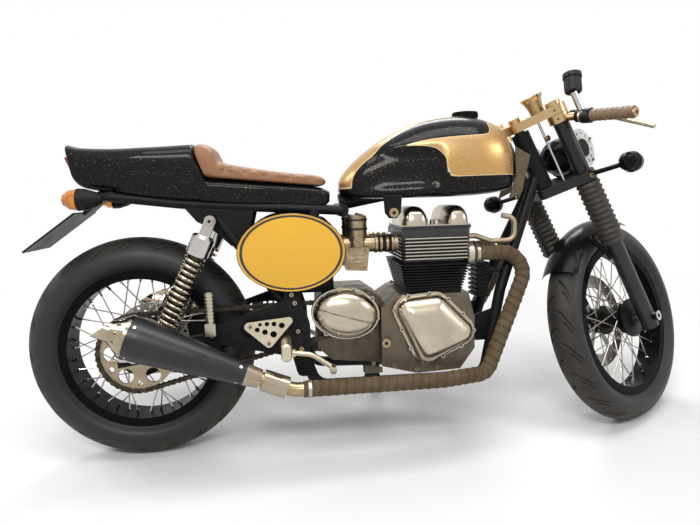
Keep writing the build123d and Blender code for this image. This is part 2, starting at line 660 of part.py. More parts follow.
# Swingarm: two arms on a pivot tube, braced ahead of the tyre, with shock pins
arm_drop = (REAR_AXLE.Z - PIVOT[1]) / (REAR_AXLE.X - PIVOT[0])
arm_end = REAR_AXLE.X - 46
with BuildPart() as swingarm:
    for side in (-1, 1):
        slab(side * ARM_IN, side * ARM_OUT, [
            (PIVOT[0], PIVOT[1] + ARM_H / 2), (arm_end, REAR_AXLE.Z - 46 * arm_drop + ARM_H / 2),
            (arm_end, REAR_AXLE.Z - 46 * arm_drop - ARM_H / 2), (PIVOT[0], PIVOT[1] - ARM_H / 2)])
        hull_slab(side * ARM_IN, side * ARM_OUT, [SHOCK_LOW + (17,), (SHOCK_LOW[0], SHOCK_LOW[1] - 30, 22)])
        rod((SHOCK_LOW[0], side * (ARM_OUT - 4), SHOCK_LOW[1]),
            (SHOCK_LOW[0], side * (SHOCK_Y + 20), SHOCK_LOW[1]), 8)
    rod((PIVOT[0], -ARM_OUT, PIVOT[1]), (PIVOT[0], ARM_OUT, PIVOT[1]), 28)
    rod((-386, -ARM_IN - 4, PIVOT[1] - 101 * arm_drop), (-386, ARM_IN + 4, PIVOT[1] - 101 * arm_drop), 16)
    rod((PIVOT[0], -160, PIVOT[1]), (PIVOT[0], 160, PIVOT[1]), 9 + GAP, Mode.SUBTRACT)
    rod(REAR_AXLE - Vector(0, 160, 0), REAR_AXLE + Vector(0, 160, 0), AXLE_R + GAP, Mode.SUBTRACT)
save("swingarm", swingarm.part, PARKED)

# Rear shocks: damper with eyes and cap, and the coil spring round it
with BuildPart() as dampers:
    for side in (-1, 1):
        low = Vector(SHOCK_LOW[0], side * SHOCK_Y, SHOCK_LOW[1])
        top = Vector(SHOCK_TOP[0], side * SHOCK_Y, SHOCK_TOP[1])
        span = (top - low).length
        turned_along(low, top, [(0, 0), (0, 10), (30, 10), (30, SPRING_R + 1), (SEAT_LOW, SPRING_R + 1),
                                (SEAT_LOW, 16), (SEAT_TOP, 16), (SEAT_TOP, SPRING_R + 1),
                                (SEAT_TOP + 4, SPRING_R + 2), (SEAT_TOP + 50, SPRING_R + 2),
                                (SEAT_TOP + 56, SPRING_R - 4), (SEAT_TOP + 58, 12), (span, 12), (span, 0)])
        for eye in (SHOCK_LOW, SHOCK_TOP):
            rod((eye[0], side * (SHOCK_Y - 12), eye[1]), (eye[0], side * (SHOCK_Y + 12), eye[1]), 15)
            rod((eye[0], side * (SHOCK_Y - 40), eye[1]), (eye[0], side * (SHOCK_Y + 40), eye[1]), 8 + GAP,
                Mode.SUBTRACT)
save("shock_dampers", dampers.part, PARKED)

coil = (SEAT_TOP - SEAT_LOW - 2 * GAP) / (2 * SPRING_COILS)
with BuildPart() as springs:
    for side in (-1, 1):
        low = Vector(SHOCK_LOW[0], side * SHOCK_Y, SHOCK_LOW[1])
        top = Vector(SHOCK_TOP[0], side * SHOCK_Y, SHOCK_TOP[1])
        outline = [(SEAT_LOW + GAP, 16 + GAP), (SEAT_LOW + GAP, 20)]
        for number in range(SPRING_COILS):
            outline.append((SEAT_LOW + GAP + (2 * number + 1) * coil, SPRING_R))
            outline.append((SEAT_LOW + GAP + (2 * number + 2) * coil, 20))
        outline.append((SEAT_TOP - GAP, 16 + GAP))
        turned_along(low, top, outline)
save("shock_springs", springs.part, PARKED)

# Rear caliper above the left arm
with BuildPart() as rear_caliper:
    slab(REAR_DISC_Y - 22, REAR_DISC_Y + 17, [(-728, 398), (-700, 438), (-640, 420), (-664, 376)])
    slab(ARM_IN - GAP, ARM_IN - 8, [(-716, 410), (-664, 390), (-650, 330), (-700, 324)])
    rod(REAR_AXLE + Vector(0, REAR_DISC_Y - 3, 0), REAR_AXLE + Vector(0, REAR_DISC_Y + DISC_T + 3, 0),
        REAR_DISC_R + 5, Mode.SUBTRACT)
save("rear_caliper", rear_caliper.part, PARKED)

# Engine: crankcase, side covers, finned barrels and head, cam covers
with BuildPart() as crankcase:
    slab(-CASE_HALF, CASE_HALF, [(-60, 250), (40, 224), (170, 230), (214, 290), (214, 380), (196, DECK_Z),
                                 (-4, DECK_Z), (-60, 420)])
    slab(-66, CASE_HALF, [(-240, 300), (-200, 262), (-50, 246), (-50, 440), (-90, 468), (-225, 468),
                          (-240, 430)])
    for x, z in ((-92, 456), (-86, 352), (-236, 397)):
        rod((x, -60, z), (x, -98, z), 7)
    for side in (-1, 1):
        slab(side * (CASE_HALF - 10), side * (CASE_HALF + 2),
             [(-60, 246), (-60, 232.4), (-110, 232.4), (-110, 256)])
save("crankcase", crankcase.part, PARKED)

# Side covers: an oval one over the drive sprocket, a domed three-cornered one on each end of the crank
COVER_SHAPE = ((18, 412, 46), (92, 412, 52), (164, 346, 46), (70, 298, 46))
COVER_OUT = 66
COVER_ROUND = 38
OVAL = (-161, 408)
OVAL_IN = 98
OVAL_OUT = 162
OVAL_ROUND = 26
with BuildPart() as covers:
    with BuildSketch(side_plane(-OVAL_IN - GAP)):
        with Locations(OVAL):
            Ellipse(98, 74, rotation=-8)
    extrude(amount=OVAL_OUT - OVAL_IN - GAP)
    fillet(covers.faces().sort_by(Axis.Y)[0].edges(), OVAL_ROUND)
    for side in (-1, 1):
        hull_slab(side * (CASE_HALF + GAP), side * (CASE_HALF + COVER_OUT), COVER_SHAPE)
    fillet(covers.faces().sort_by(Axis.Y)[0].edges(), COVER_ROUND)
    fillet(covers.faces().sort_by(Axis.Y)[-1].edges(), COVER_ROUND)
save("engine_covers", covers.part, PARKED)

# Barrels whose fins grow upwards, and a head with even fins, exhaust ports and inlet stubs
BARREL_FINS = 10
HEAD_FINS = 7
PORT_R = 30
PORT_END = 218
BREATHER = (212, -60, 612)
with BuildPart() as barrels:
    slab(-112, 112, [(22, DECK_Z + GAP), (176, DECK_Z + GAP), (176, HEAD_Z - GAP), (22, HEAD_Z - GAP)])
    for number in range(BARREL_FINS):
        reach = 6 + 2 * number
        with BuildSketch(Plane((99, 0, DECK_Z + 11 + number * BARREL_PITCH))):
            RectangleRounded(154 + 2 * reach, 224 + 2 * reach, 14)
        extrude(amount=FIN_T)
    for side in (-1, 1):
        rod((150 - GAP, side * PORT_Y, PORT_Z), (PORT_END, side * PORT_Y, PORT_Z), PORT_R + GAP,
            Mode.SUBTRACT)
save("cylinder_barrels", barrels.part, PARKED)

with BuildPart() as cylinder_head:
    slab(-116, 116, [(18, HEAD_Z), (184, HEAD_Z), (198, 606), (204, COVER_Z), (6, COVER_Z), (6, 606)])
    for number in range(HEAD_FINS):
        with BuildSketch(Plane((101, 0, HEAD_Z + 8 + number * HEAD_PITCH))):
            RectangleRounded(200, 264, 16)
        extrude(amount=FIN_T)
    for side in (-1, 1):
        rod((150, side * PORT_Y, PORT_Z), (PORT_END, side * PORT_Y, PORT_Z), PORT_R)
        rod((40, side * 52, 600), (-8, side * 52, 600), 24)
    rod((190, BREATHER[1], BREATHER[2]), BREATHER, 12)
save("cylinder_head", cylinder_head.part, PARKED)

# Cam covers: two rounded boxes across the head on a common flange
DOMES = (dict(x=50, half=41), dict(x=173, half=37))
DOME_Y = 110
DOME_FOOT = COVER_Z + 6
DOME_H = 59
with BuildPart() as cam_covers:
    for row in DOMES:
        with BuildSketch(side_plane(DOME_Y)) as section:
            with Locations((row["x"], DOME_FOOT)):
                Rectangle(2 * row["half"], DOME_H, align=(Align.CENTER, Align.MIN))
            fillet(section.vertices().group_by(Axis.Y)[-1], row["half"] - 9)
        extrude(amount=2 * DOME_Y)
    for end in (0, -1):
        rims = cam_covers.edges().group_by(Axis.Y)[end]
        fillet(rims.filter_by_position(Axis.Z, DOME_FOOT + 2, DOME_FOOT + DOME_H + 2), 16)
    slab(-108, 108, [(8, COVER_Z + GAP), (208, COVER_Z + GAP), (204, COVER_Z + 12), (12, COVER_Z + 12)])
save("cam_covers", cam_covers.part, PARKED)

# Induction: rubbers, carburettors and air box
with BuildPart() as carbs:
    for side in (-1, 1):
        rod((-66 - GAP, side * 52, 600), (-189.7, side * 52, 600), 24)
        rod((-118, side * 52, 588), (-118, side * 52, 682), 31)
        slab(side * 26, side * 84, [(-152, 528), (-92, 524), (-84, 592), (-152, 592)])
        rod((-118, side * 76, 610), (-118, side * 100, 610), 14)
    rod((-130, -60, 640), (-130, 60, 640), 8)
save("carburettors", carbs.part, PARKED)

with BuildPart() as airbox:
    slab(-80, 80, [(-190, 468.3), (-190, 660), (-210, 680), (-390, 680), (-400, 660), (-400, 560),
                   (-330, 468.3)])
    for side in (-1, 1):
        rod((-8 - GAP, side * 52, 600), (-66, side * 52, 600), 25)
save("air_intake", airbox.part, PARKED)

with BuildPart() as oil_cooler:
    for number in range(8):
        with BuildSketch(Plane((266, 0, 424 + number * 14))):
            Rectangle(38, 80)
        extrude(amount=8)
    with BuildSketch(Plane((266, 0, 424))):
        Rectangle(24, 72)
    extrude(amount=106)
    for side in (-1, 1):
        rod((272, side * 34, 505), (330, side * 54, 505), 7)
    for side in (-1, 1):
        rod((311, side * 66, 450), down_top, CRADLE_R + GAP, Mode.SUBTRACT)
save("oil_cooler", oil_cooler.part, PARKED)

# Breather pipe out of the head with a return bend behind the right downtube
HOSE_R = 8
with BuildPart() as breather:
    tube([(BREATHER[0] + GAP, BREATHER[1], BREATHER[2]), (238, -60, BREATHER[2]), (284, -60, 594),
          (356, -60, 596), (358, -60, 662), (318, -60, 670)], HOSE_R, 24)
save("breather_pipe", breather.part, PARKED)

# Exhaust: header pipes, reverse-cone silencers, their bands, sleeves and slash-cut outlets on both sides
silencer_rise = math.radians(SILENCER_RISE)
silencer_dir = Vector(-math.cos(silencer_rise), 0, math.sin(silencer_rise))
with BuildPart() as headers:
    for side in (-1, 1):
        start = Vector(SILENCER_START[0], side * SILENCER_Y, SILENCER_START[1])
        tube([(218 + GAP, side * PORT_Y, PORT_Z), (402, side * PORT_Y, PORT_Z), (236, side * 158, 224),
              (100, side * PIPE_Y, 226), start - silencer_dir * 92, start + silencer_dir * 3],
             PIPE_R, (60, 44, 60, 90))
save("header_pipes", headers.part, PARKED)

BAND_END = 44
CONE_END = 352
SILENCER_OUTLINE = ((BAND_END, 0), (BAND_END, 28), (60, 30), (180, 44), (326, 57), (CONE_END, 57),
                    (CONE_END, 0))
silencer_up = Vector(math.sin(silencer_rise), 0, math.cos(silencer_rise))
with BuildPart() as silencers:
    for side in (-1, 1):
        start = Vector(SILENCER_START[0], side * SILENCER_Y, SILENCER_START[1])
        turned_along(start, start + silencer_dir, SILENCER_OUTLINE)
save("silencers", silencers.part, PARKED)

with BuildPart() as end_caps:
    for side in (-1, 1):
        start = Vector(SILENCER_START[0], side * SILENCER_Y, SILENCER_START[1])
        along = start + silencer_dir
        turned_along(start, along, [(CONE_END + GAP, 0), (CONE_END + GAP, 57), (360, 57), (398, 29),
                                    (444, 27), (444, 24), (378, 24), (378, 0)])
        slash = [start + silencer_dir * 400 + silencer_up * 32, start + silencer_dir * 446 - silencer_up * 32,
                 start + silencer_dir * 490, start + silencer_dir * 450 + silencer_up * 50]
        slab(side * (SILENCER_Y - 40), side * (SILENCER_Y + 40), [(point.X, point.Z) for point in slash],
             Mode.SUBTRACT)
        turned_along(start, along, [(3 + GAP, 0), (3 + GAP, 25), (BAND_END - GAP, 29.5), (BAND_END - GAP, 0)])
        turned_along(start, along, [(-72, PIPE_R + GAP), (-72, 29), (-4, 29), (-4, PIPE_R + GAP)])
save("silencer_caps", end_caps.part, PARKED)

# Footrests: one bracket a side with rider and passenger pegs, heel plates and pedals
BRACKET_IN = PLATE_OUT + GAP
BRACKET_OUT = BRACKET_IN + 6
PEG = (-331, 340)
PEDAL = (-314, 314)
REAR_PEG = (-532, 384)
REAR_PEG_R = 13
REAR_PEG_RIBS = 8
REAR_PEG_RIB = 9.6
HEEL_HOLES = ((-425.6, 394.8, 5.3), (-400, 401, 5.3), (-381.3, 401.8, 6.2), (-362.3, 401, 6.6),
              (-341.5, 396, 8), (-408, 387, 6.6), (-387.5, 379.8, 7.5), (-364.5, 372.7, 9))
with BuildPart() as footrests:
    for side in (-1, 1):
        hull_slab(side * BRACKET_IN, side * BRACKET_OUT,
                  [(-304, 452, 18), (-298, 346, 16), PEDAL + (14,), PEG + (20,), (-536, 372, 20)])
        hull_slab(side * BRACKET_IN, side * BRACKET_OUT, [(-430, 384, 24), (-372, 392, 18)], Mode.SUBTRACT)
        hull_slab(side * BRACKET_IN, side * BRACKET_OUT, [PIVOT + (22,)], Mode.SUBTRACT)
        hull_slab(side * BRACKET_IN, side * BRACKET_OUT, [(-536, 372, 18), (-520, 318, 12)])
        rod((-520, side * BRACKET_IN, 318), (-520, side * (SILENCER_Y - 22), 318), 7)
    for side in (-1, 1):
        start = Vector(SILENCER_START[0], side * SILENCER_Y, SILENCER_START[1])
        turned_along(start, start + silencer_dir,
                     [(0, 0)] + [(a, r + GAP) for a, r in SILENCER_OUTLINE[1:6]] + [(CONE_END, 0)],
                     Mode.SUBTRACT)
save("footrest_brackets", footrests.part, PARKED)

with BuildPart() as rear_pegs:
    for side in (-1, 1):
        hinge = Vector(REAR_PEG[0], side * (BRACKET_OUT + GAP + REAR_PEG_R), REAR_PEG[1])
        slab(side * (BRACKET_OUT + GAP), side * (BRACKET_OUT + 2 * REAR_PEG_R),
             [(REAR_PEG[0] - 14, REAR_PEG[1] - 8), (REAR_PEG[0] + 14, REAR_PEG[1] - 8),
              (REAR_PEG[0] + 14, REAR_PEG[1] + 26), (REAR_PEG[0] - 14, REAR_PEG[1] + 26)])
        outline = [(20, 0), (20, REAR_PEG_R - 3), (34, REAR_PEG_R - 3)]
        for number in range(REAR_PEG_RIBS):
            foot = 34 + number * REAR_PEG_RIB
            outline.append((foot, REAR_PEG_R))
            outline.append((foot + REAR_PEG_RIB / 2, REAR_PEG_R))
            outline.append((foot + REAR_PEG_RIB / 2, REAR_PEG_R - 3))
            outline.append((foot + REAR_PEG_RIB, REAR_PEG_R - 3))
        outline.append((34 + REAR_PEG_RIBS * REAR_PEG_RIB, 0))
        turned_along(hinge, hinge + Vector(0, 0, 1), outline)
save("passenger_pegs", rear_pegs.part, PARKED)

with BuildPart() as rider_rests:
    for side in (-1, 1):
        with BuildSketch(side_plane(side * (BRACKET_OUT + GAP))):
            with Locations(PEG):
                SlotOverall(50, 28, rotation=90)
        extrude(amount=-side * (250 - BRACKET_OUT - GAP))
    for end in (0, -1):
        fillet(rider_rests.faces().sort_by(Axis.Y)[end].edges(), 9)
    for side in (-1, 1):
        near = side * (BRACKET_OUT + 20)
        far = side * (BRACKET_OUT + 24)
        hull_slab(near, far, [(-430, 396, 12), (-322, 408, 10), (-378, 348, 12)])
        for x, z, radius in HEEL_HOLES:
            hull_slab(near, far, [(x, z, radius)], Mode.SUBTRACT)
        rod((-322, side * (BRACKET_OUT + GAP), 408), (-322, side * (BRACKET_OUT + 22), 408), 6)
        y = side * (BRACKET_OUT + 8 + GAP)
        tube([(PEDAL[0], y, PEDAL[1]), (-262, y, 306), (-206, y, 266)], 7.5, 60)
        rod((-206, y, 266), (-206, y + side * 34, 266), 10)
        rod((PEDAL[0], side * (BRACKET_OUT + GAP), PEDAL[1]), (PEDAL[0], y + side * 6, PEDAL[1]), 11)
save("rider_footrests", rider_rests.part, PARKED)

# Number plates on standoffs: plain ovals each side of the air box
with BuildPart() as number_plates:
    for side in (-1, 1):
        with BuildSketch(side_plane(side * PLATE_SIDE_Y + 2)):
            with Locations((-307, 592)):
                Ellipse(147, 107)
        extrude(amount=4)
        for x, z in ((-352, 600), (-216, 600)):
            rod((x, side * (80 + GAP), z), (x, side * PLATE_SIDE_Y, z), 7)
save("number_plates", number_plates.part, PARKED)

# Fuel tank: lofted rounded sections with a tunnel over the backbone and a notch for the head
TANK_SECTIONS = (
    dict(x=-158, half=46, low=744, high=790, top_r=18, low_r=14),
    dict(x=-100, half=88, low=TANK_LOW, high=850, top_r=42, low_r=14),
    dict(x=30, half=122, low=TANK_LOW, high=931, top_r=76, low_r=14),
    dict(x=190, half=134, low=TANK_LOW, high=964, top_r=86, low_r=14),
    dict(x=300, half=122, low=TANK_LOW + 6, high=942, top_r=76, low_r=14),
    dict(x=350, half=84, low=TANK_LOW + 22, high=884, top_r=50, low_r=14),
)
with BuildPart() as tank:
    lofted(TANK_SECTIONS)
    rod(spine_front, SPINE_BACK, BACKBONE_R + GAP, Mode.SUBTRACT)
    with BuildSketch(Plane(origin=SPINE_BACK, x_dir=(0, 1, 0), z_dir=spine_front - SPINE_BACK)):
        with Locations((0, 0)):
            Rectangle(2 * (BACKBONE_R + GAP), 160, align=(Align.CENTER, Align.MAX))
    extrude(amount=620, mode=Mode.SUBTRACT)
    rod(slanted(head_low, head_top, -60), slanted(head_low, head_top, 300), 50, Mode.SUBTRACT)
    rod((226, 0, 954), (226, 0, 1000), 37 + GAP, Mode.SUBTRACT)
save("fuel_tank", tank.part, PARKED)

with BuildPart() as fuel_cap:
    with BuildSketch(Plane((226, 0, 954 + GAP))):
        Circle(37)
    extrude(amount=23)
save("fuel_cap", fuel_cap.part, PARKED)

# Seat: padded front with a bump stop, and the cowl behind and below it
PAD_SECTIONS = (
    dict(x=-562, half=100, low=890.6, high=894, top_r=1.2, low_r=1),
    dict(x=-540, half=107, low=829, high=897, top_r=24, low_r=2),
    dict(x=-530, half=109, low=801.4, high=895, top_r=24, low_r=2),
    dict(x=-514, half=110, low=799.4, high=884, top_r=24, low_r=2),
    dict(x=-498, half=110, low=797.9, high=848, top_r=20, low_r=2),
    dict(x=-420, half=106, low=790.2, high=832, top_r=20, low_r=2),
    dict(x=-320, half=93, low=780.4, high=818, top_r=18, low_r=2),
    dict(x=-230, half=80, low=771.6, high=806, top_r=16, low_r=2),
    dict(x=-200, half=68, low=784, high=790, top_r=2, low_r=2),
)
COWL_SECTIONS = (
    dict(x=-912, half=70, low=892, high=899, top_r=3, low_r=3),
    dict(x=-890, half=84, low=841, high=895, top_r=24, low_r=10),
    dict(x=-846, half=91, low=785, high=893, top_r=34, low_r=14),
    dict(x=-700, half=110, low=763, high=893, top_r=44, low_r=14),
    dict(x=-562.8, half=112, low=745.4, high=893, top_r=40, low_r=10),
    dict(x=-530.8, half=112, low=742.4, high=799.6, top_r=12, low_r=10),
    dict(x=-400, half=107, low=730.2, high=786.8, top_r=12, low_r=10),
    dict(x=-214, half=88, low=720.7, high=768.6, top_r=10, low_r=8),
    dict(x=-190, half=84, low=736, high=750, top_r=5, low_r=5),
)
with BuildPart() as seat_pad:
    lofted(PAD_SECTIONS, ruled=True)
save("seat_pad", seat_pad.part, PARKED)

with BuildPart() as seat_cowl:
    lofted(COWL_SECTIONS, ruled=True)
save("seat_cowl", seat_cowl.part, PARKED)

# Tail: lamp, indicators and a blank plate on its holder
with BuildPart() as tail_lamp:
    slab(-50, 50, [(-901.5, 866), (-890.4, 840), (-900, 838), (-911, 866)])
save("tail_lamp", tail_lamp.part, PARKED)

with BuildPart() as indicator_lenses:
    for side in (-1, 1):
        turned_along((-848 - GAP, side * 150, 750), (-900, side * 150, 750),
                     [(0, 0), (0, 28), (20, 25), (36, 14), (42, 0)])
save("rear_lenses", indicator_lenses.part, PARKED)

PLATE_HALF = 88
with BuildPart() as tail_fittings:
    slab(-PLATE_HALF, PLATE_HALF, [(-886, 716), (-1026, 616), (-1023, 612), (-883, 712)])
    slab(-30, 30, [(-884, 714), (-830, 764), (-814, 758), (-876, 706)])
    rod((-822, -40, 760), (-822, 40, 760), RAIL_R + GAP, Mode.SUBTRACT)
    for side in (-1, 1):
        turned_along((-848, side * 150, 750), (-780, side * 150, 750),
                     [(0, 0), (0, 29), (18, 28), (44, 20), (60, 10), (66, 0)])
        rod((-766, side * 92, 753), (-818, side * 142, 750), 6)
    for side in (-1, 1):
        rod((-600, side * RAIL_HALF, 731), (-822, side * (RAIL_HALF - 8), 760), RAIL_R + GAP, Mode.SUBTRACT)
save("tail_fittings", tail_fittings.part, PARKED)

# Side stand: hinge barrel, leg and a foot that lies flat on the ground when down
with BuildPart() as side_stand:
    rod(STAND_PIVOT - STAND_AXIS * 12, STAND_PIVOT + STAND_AXIS * 12, 15)
    rod(STAND_PIVOT, STAND_FOOT + Vector(0, 0, 8), 11)
    with BuildSketch(Plane(STAND_FOOT)):
        RectangleRounded(74, 48, 12)
    extrude(amount=8)
save("side_stand", side_stand.part, Location((0, 0, 0)))
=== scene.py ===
# %% [markdown]
# A retro standard motorcycle, dressed for a studio picture
#
# The solid parts are already made, at their real size and place, in one frame of metres. This lesson gives
# them the finish of the real machine: paint with metal flake, polished castings, stitched leather, wrapped
# pipes and rubber. The machine stands as it parks, leaning to its left on a side stand, its steering turned.

# %% Load the frame
import math

import bmesh
import bpy
import numpy as np
from mathutils import Matrix, Vector
from mathutils.bvhtree import BVHTree


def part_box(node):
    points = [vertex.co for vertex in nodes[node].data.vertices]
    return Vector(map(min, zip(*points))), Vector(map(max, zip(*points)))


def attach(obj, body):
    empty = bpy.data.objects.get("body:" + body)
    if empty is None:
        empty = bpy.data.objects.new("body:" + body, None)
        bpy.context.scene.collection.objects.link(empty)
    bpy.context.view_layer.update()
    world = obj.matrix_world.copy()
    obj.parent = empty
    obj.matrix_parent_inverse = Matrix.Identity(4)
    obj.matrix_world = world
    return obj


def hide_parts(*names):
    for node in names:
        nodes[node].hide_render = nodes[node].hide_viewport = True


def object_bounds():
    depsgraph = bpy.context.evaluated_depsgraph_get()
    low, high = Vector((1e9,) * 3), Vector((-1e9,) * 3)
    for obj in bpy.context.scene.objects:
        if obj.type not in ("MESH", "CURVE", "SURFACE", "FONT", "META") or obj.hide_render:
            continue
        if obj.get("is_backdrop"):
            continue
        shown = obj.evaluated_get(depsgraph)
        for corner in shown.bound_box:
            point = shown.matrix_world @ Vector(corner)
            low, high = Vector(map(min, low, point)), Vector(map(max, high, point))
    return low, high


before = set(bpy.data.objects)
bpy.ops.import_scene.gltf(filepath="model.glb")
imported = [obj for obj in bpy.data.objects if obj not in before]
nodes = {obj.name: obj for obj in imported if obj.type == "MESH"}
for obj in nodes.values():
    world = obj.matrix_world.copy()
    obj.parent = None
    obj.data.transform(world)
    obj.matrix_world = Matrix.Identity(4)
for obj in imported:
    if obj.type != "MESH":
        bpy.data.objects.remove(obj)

cad_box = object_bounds()
print("nodes", len(nodes), "box", [tuple(round(v, 3) for v in corner) for corner in cad_box])

# %% [markdown]
# Where things are
#
# A motorcycle is drawn upright and straight ahead, because every measure is simple there, and is then set
# down: the front turns about the steering axis, and the whole machine leans and pitches until it rests on its
# tyres and its stand. The same few values set the solid parts down, so a piece that is drawn here in upright
# millimetres lands on its solid.

# %% Upright millimetres to the parked machine
MM = 0.001
SIDES = (-1, 1)
RAKE = math.radians(26)
STEER_FOOT = Vector((842, 0, 0))
STEER_UP = Vector((-math.sin(RAKE), 0, math.cos(RAKE)))
STEER_FWD = Vector((math.cos(RAKE), 0, math.sin(RAKE)))
LEAN = math.radians(-10)
PITCH = math.radians(0.284169)
SET_DOWN = Vector((20, -111, -2.70348))
STEER_LEFT = math.radians(33)
REAR_AXLE = Vector((-745, 0, 320))
FRONT_AXLE = Vector((745, 0, 318))

lean_and_pitch = Matrix.Rotation(PITCH, 4, "Y") @ Matrix.Rotation(LEAN, 4, "X")
turn = Matrix.Rotation(STEER_LEFT, 4, STEER_UP)
PARKED = Matrix.Scale(MM, 4) @ Matrix.Translation(SET_DOWN) @ lean_and_pitch
STEERED = PARKED @ Matrix.Translation(STEER_FOOT) @ turn @ Matrix.Translation(-STEER_FOOT)
PLACES = {"chassis": PARKED, "rear_wheel": PARKED, "steering": STEERED, "front_wheel": STEERED}


def fork_point(height, forward, y):
    """Point of the straight-ahead fork from its own three measures, in millimetres."""
    return FRONT_AXLE + STEER_UP * height + STEER_FWD * forward + Vector((0, y, 0))


axle_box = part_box("front_axle")
axle_error = (STEERED @ FRONT_AXLE - (axle_box[0] + axle_box[1]) / 2).length
print("front axle found within", round(axle_error / MM, 3), "mm")

# %% [markdown]
# Camera
#
# The picture was taken from the machine's right, close by and with a wide lens, so near things look larger.
# Both tyres' outlines and the front axle gave the camera's place, its turn and its focal length.

# %% Camera at the picture's viewing angle
PHOTO_WIDTH = 700
FOCAL_PIXELS = 561.71
SENSOR_WIDTH = 36
CAMERA_AT = Vector((-0.28643, -1.63024, 1.01954))
YAW, TILT, ROLL = 0.1090, 0.2929, -0.0146

scene = bpy.context.scene
forward = Vector((math.sin(YAW) * math.cos(TILT), math.cos(YAW) * math.cos(TILT), -math.sin(TILT)))
level = Vector((math.cos(YAW), -math.sin(YAW), 0))
upward = level.cross(forward)
right = level * math.cos(ROLL) + upward * math.sin(ROLL)
top = upward * math.cos(ROLL) - level * math.sin(ROLL)
camera_data = bpy.data.cameras.new("picture_camera")
camera_data.sensor_width = SENSOR_WIDTH
camera_data.lens = SENSOR_WIDTH * FOCAL_PIXELS / PHOTO_WIDTH
camera_data.clip_start = 0.02
camera = bpy.data.objects.new("picture_camera", camera_data)
camera.matrix_world = Matrix.Translation(CAMERA_AT) @ Matrix((right, top, -forward)).transposed().to_4x4()
scene.collection.objects.link(camera)
scene.camera = camera
print("lens", round(camera_data.lens, 2), "mm")

# %% [markdown]
# Trees of nodes
#
# Materials are trees of nodes, and so are the shapes that repeat. The helpers here add one node each, link or
# set what goes into it and give back what comes out, so a tree can be written down like a sum.

# %% Helpers for node trees
SHADER_SOCKETS = {"colour": "Base Color", "rough": "Roughness", "metal": "Metallic", "coat": "Coat Weight",
                  "coat_rough": "Coat Roughness", "shine": "Specular IOR Level",
                  "through": "Transmission Weight"}


def feed(tree, socket, value):
    """Links a socket to another one, or sets it to a plain value."""
    if isinstance(value, bpy.types.NodeSocket):
        tree.links.new(value, socket)
    else:
        socket.default_value = (*value, 1) if socket.type == "RGBA" else value


def math_node(tree, operation, first, second=None, clamp=False):
    """Math node fed by sockets or numbers; gives its output socket."""
    made = tree.nodes.new("ShaderNodeMath")
    made.operation = operation
    made.use_clamp = clamp
    feed(tree, made.inputs[0], first)
    if second is not None:
        feed(tree, made.inputs[1], second)
    return made.outputs[0]


def ramp(tree, value, low, high, start=0.0, end=1.0, blend="LINEAR"):
    """Value from low to high, spread from start to end and clamped."""
    made = tree.nodes.new("ShaderNodeMapRange")
    made.interpolation_type = blend
    for label, given in (("Value", value), ("From Min", low), ("From Max", high), ("To Min", start),
                         ("To Max", end)):
        feed(tree, made.inputs[label], given)
    return made.outputs["Result"]


def mix_colour(tree, share, first, second):
    """Colour mix fed by sockets or by colours; gives its output socket."""
    made = tree.nodes.new("ShaderNodeMix")
    made.data_type = "RGBA"
    for slot, given in ((0, share), (6, first), (7, second)):
        feed(tree, made.inputs[slot], given)
    return made.outputs[2]


def object_place(tree):
    """Socket of the place on the object."""
    return tree.nodes.new("ShaderNodeTexCoord").outputs["Object"]


def vertex_mark(tree, label):
    """Socket of a number that the mesh stores at its vertices."""
    made = tree.nodes.new("ShaderNodeAttribute")
    made.attribute_name = label
    return made.outputs["Fac"]


def noise(tree, vector, scale, detail=3.0):
    """Noise of a scale given as a number or a socket; gives its value socket."""
    made = tree.nodes.new("ShaderNodeTexNoise")
    for label, given in (("Vector", vector), ("Scale", scale), ("Detail", detail)):
        feed(tree, made.inputs[label], given)
    return made.outputs[0]


def waves(tree, direction, scale):
    """Wave bands along one direction of the object; gives their value socket."""
    made = tree.nodes.new("ShaderNodeTexWave")
    made.bands_direction = direction
    for label, given in (("Vector", object_place(tree)), ("Scale", scale)):
        feed(tree, made.inputs[label], given)
    return made.outputs["Fac"]


def start_material(name):
    """New material with its tree and its Principled shader."""
    material = bpy.data.materials.new(name)
    material.use_nodes = True
    return material, material.node_tree, material.node_tree.nodes["Principled BSDF"]


def dress(tree, shader, **values):
    """Feeds the shader's own sockets with sockets or plain values."""
    for label, value in values.items():
        feed(tree, shader.inputs[SHADER_SOCKETS[label]], value)


def bump(tree, shader, height, depth):
    """Feeds a height to the shader's normal; the depth is in millimetres."""
    made = tree.nodes.new("ShaderNodeBump")
    for label, given in (("Strength", 1.0), ("Distance", depth * MM), ("Height", height)):
        feed(tree, made.inputs[label], given)
    tree.links.new(made.outputs["Normal"], shader.inputs["Normal"])


def mix_shaders(tree, share, first, second, end):
    """Shows a mix of two shaders at the tree's end."""
    made = tree.nodes.new("ShaderNodeMixShader")
    for slot, socket in enumerate((share, first, second)):
        tree.links.new(socket, made.inputs[slot])
    tree.links.new(made.outputs["Shader"], end.inputs["Surface"])


def new_group(name, kind, inputs, outputs):
    """Empty node group; gives it with the sockets that lead in and the sockets that lead out."""
    group = bpy.data.node_groups.new(name, kind)
    for way, sockets in (("INPUT", inputs), ("OUTPUT", outputs)):
        for label, value in sockets:
            group.interface.new_socket(label, in_out=way, socket_type="NodeSocket" + value)
    return group, group.nodes.new("NodeGroupInput").outputs, group.nodes.new("NodeGroupOutput").inputs


def use_group(tree, group, values=()):
    """Places a node group in a material with its own values; gives its output sockets."""
    made = tree.nodes.new("ShaderNodeGroup")
    made.node_tree = group
    for label, value in values:
        made.inputs[label].default_value = value
    return made.outputs


# %% [markdown]
# Studio
#
# A white sweep of floor, and large soft lamps. Glossy paint and chrome show what stands round them, so the
# lamps are wide panels: one overhead for the ridge of the tank, and one from each side and each end. The
# world fills in, and is white where it is seen.

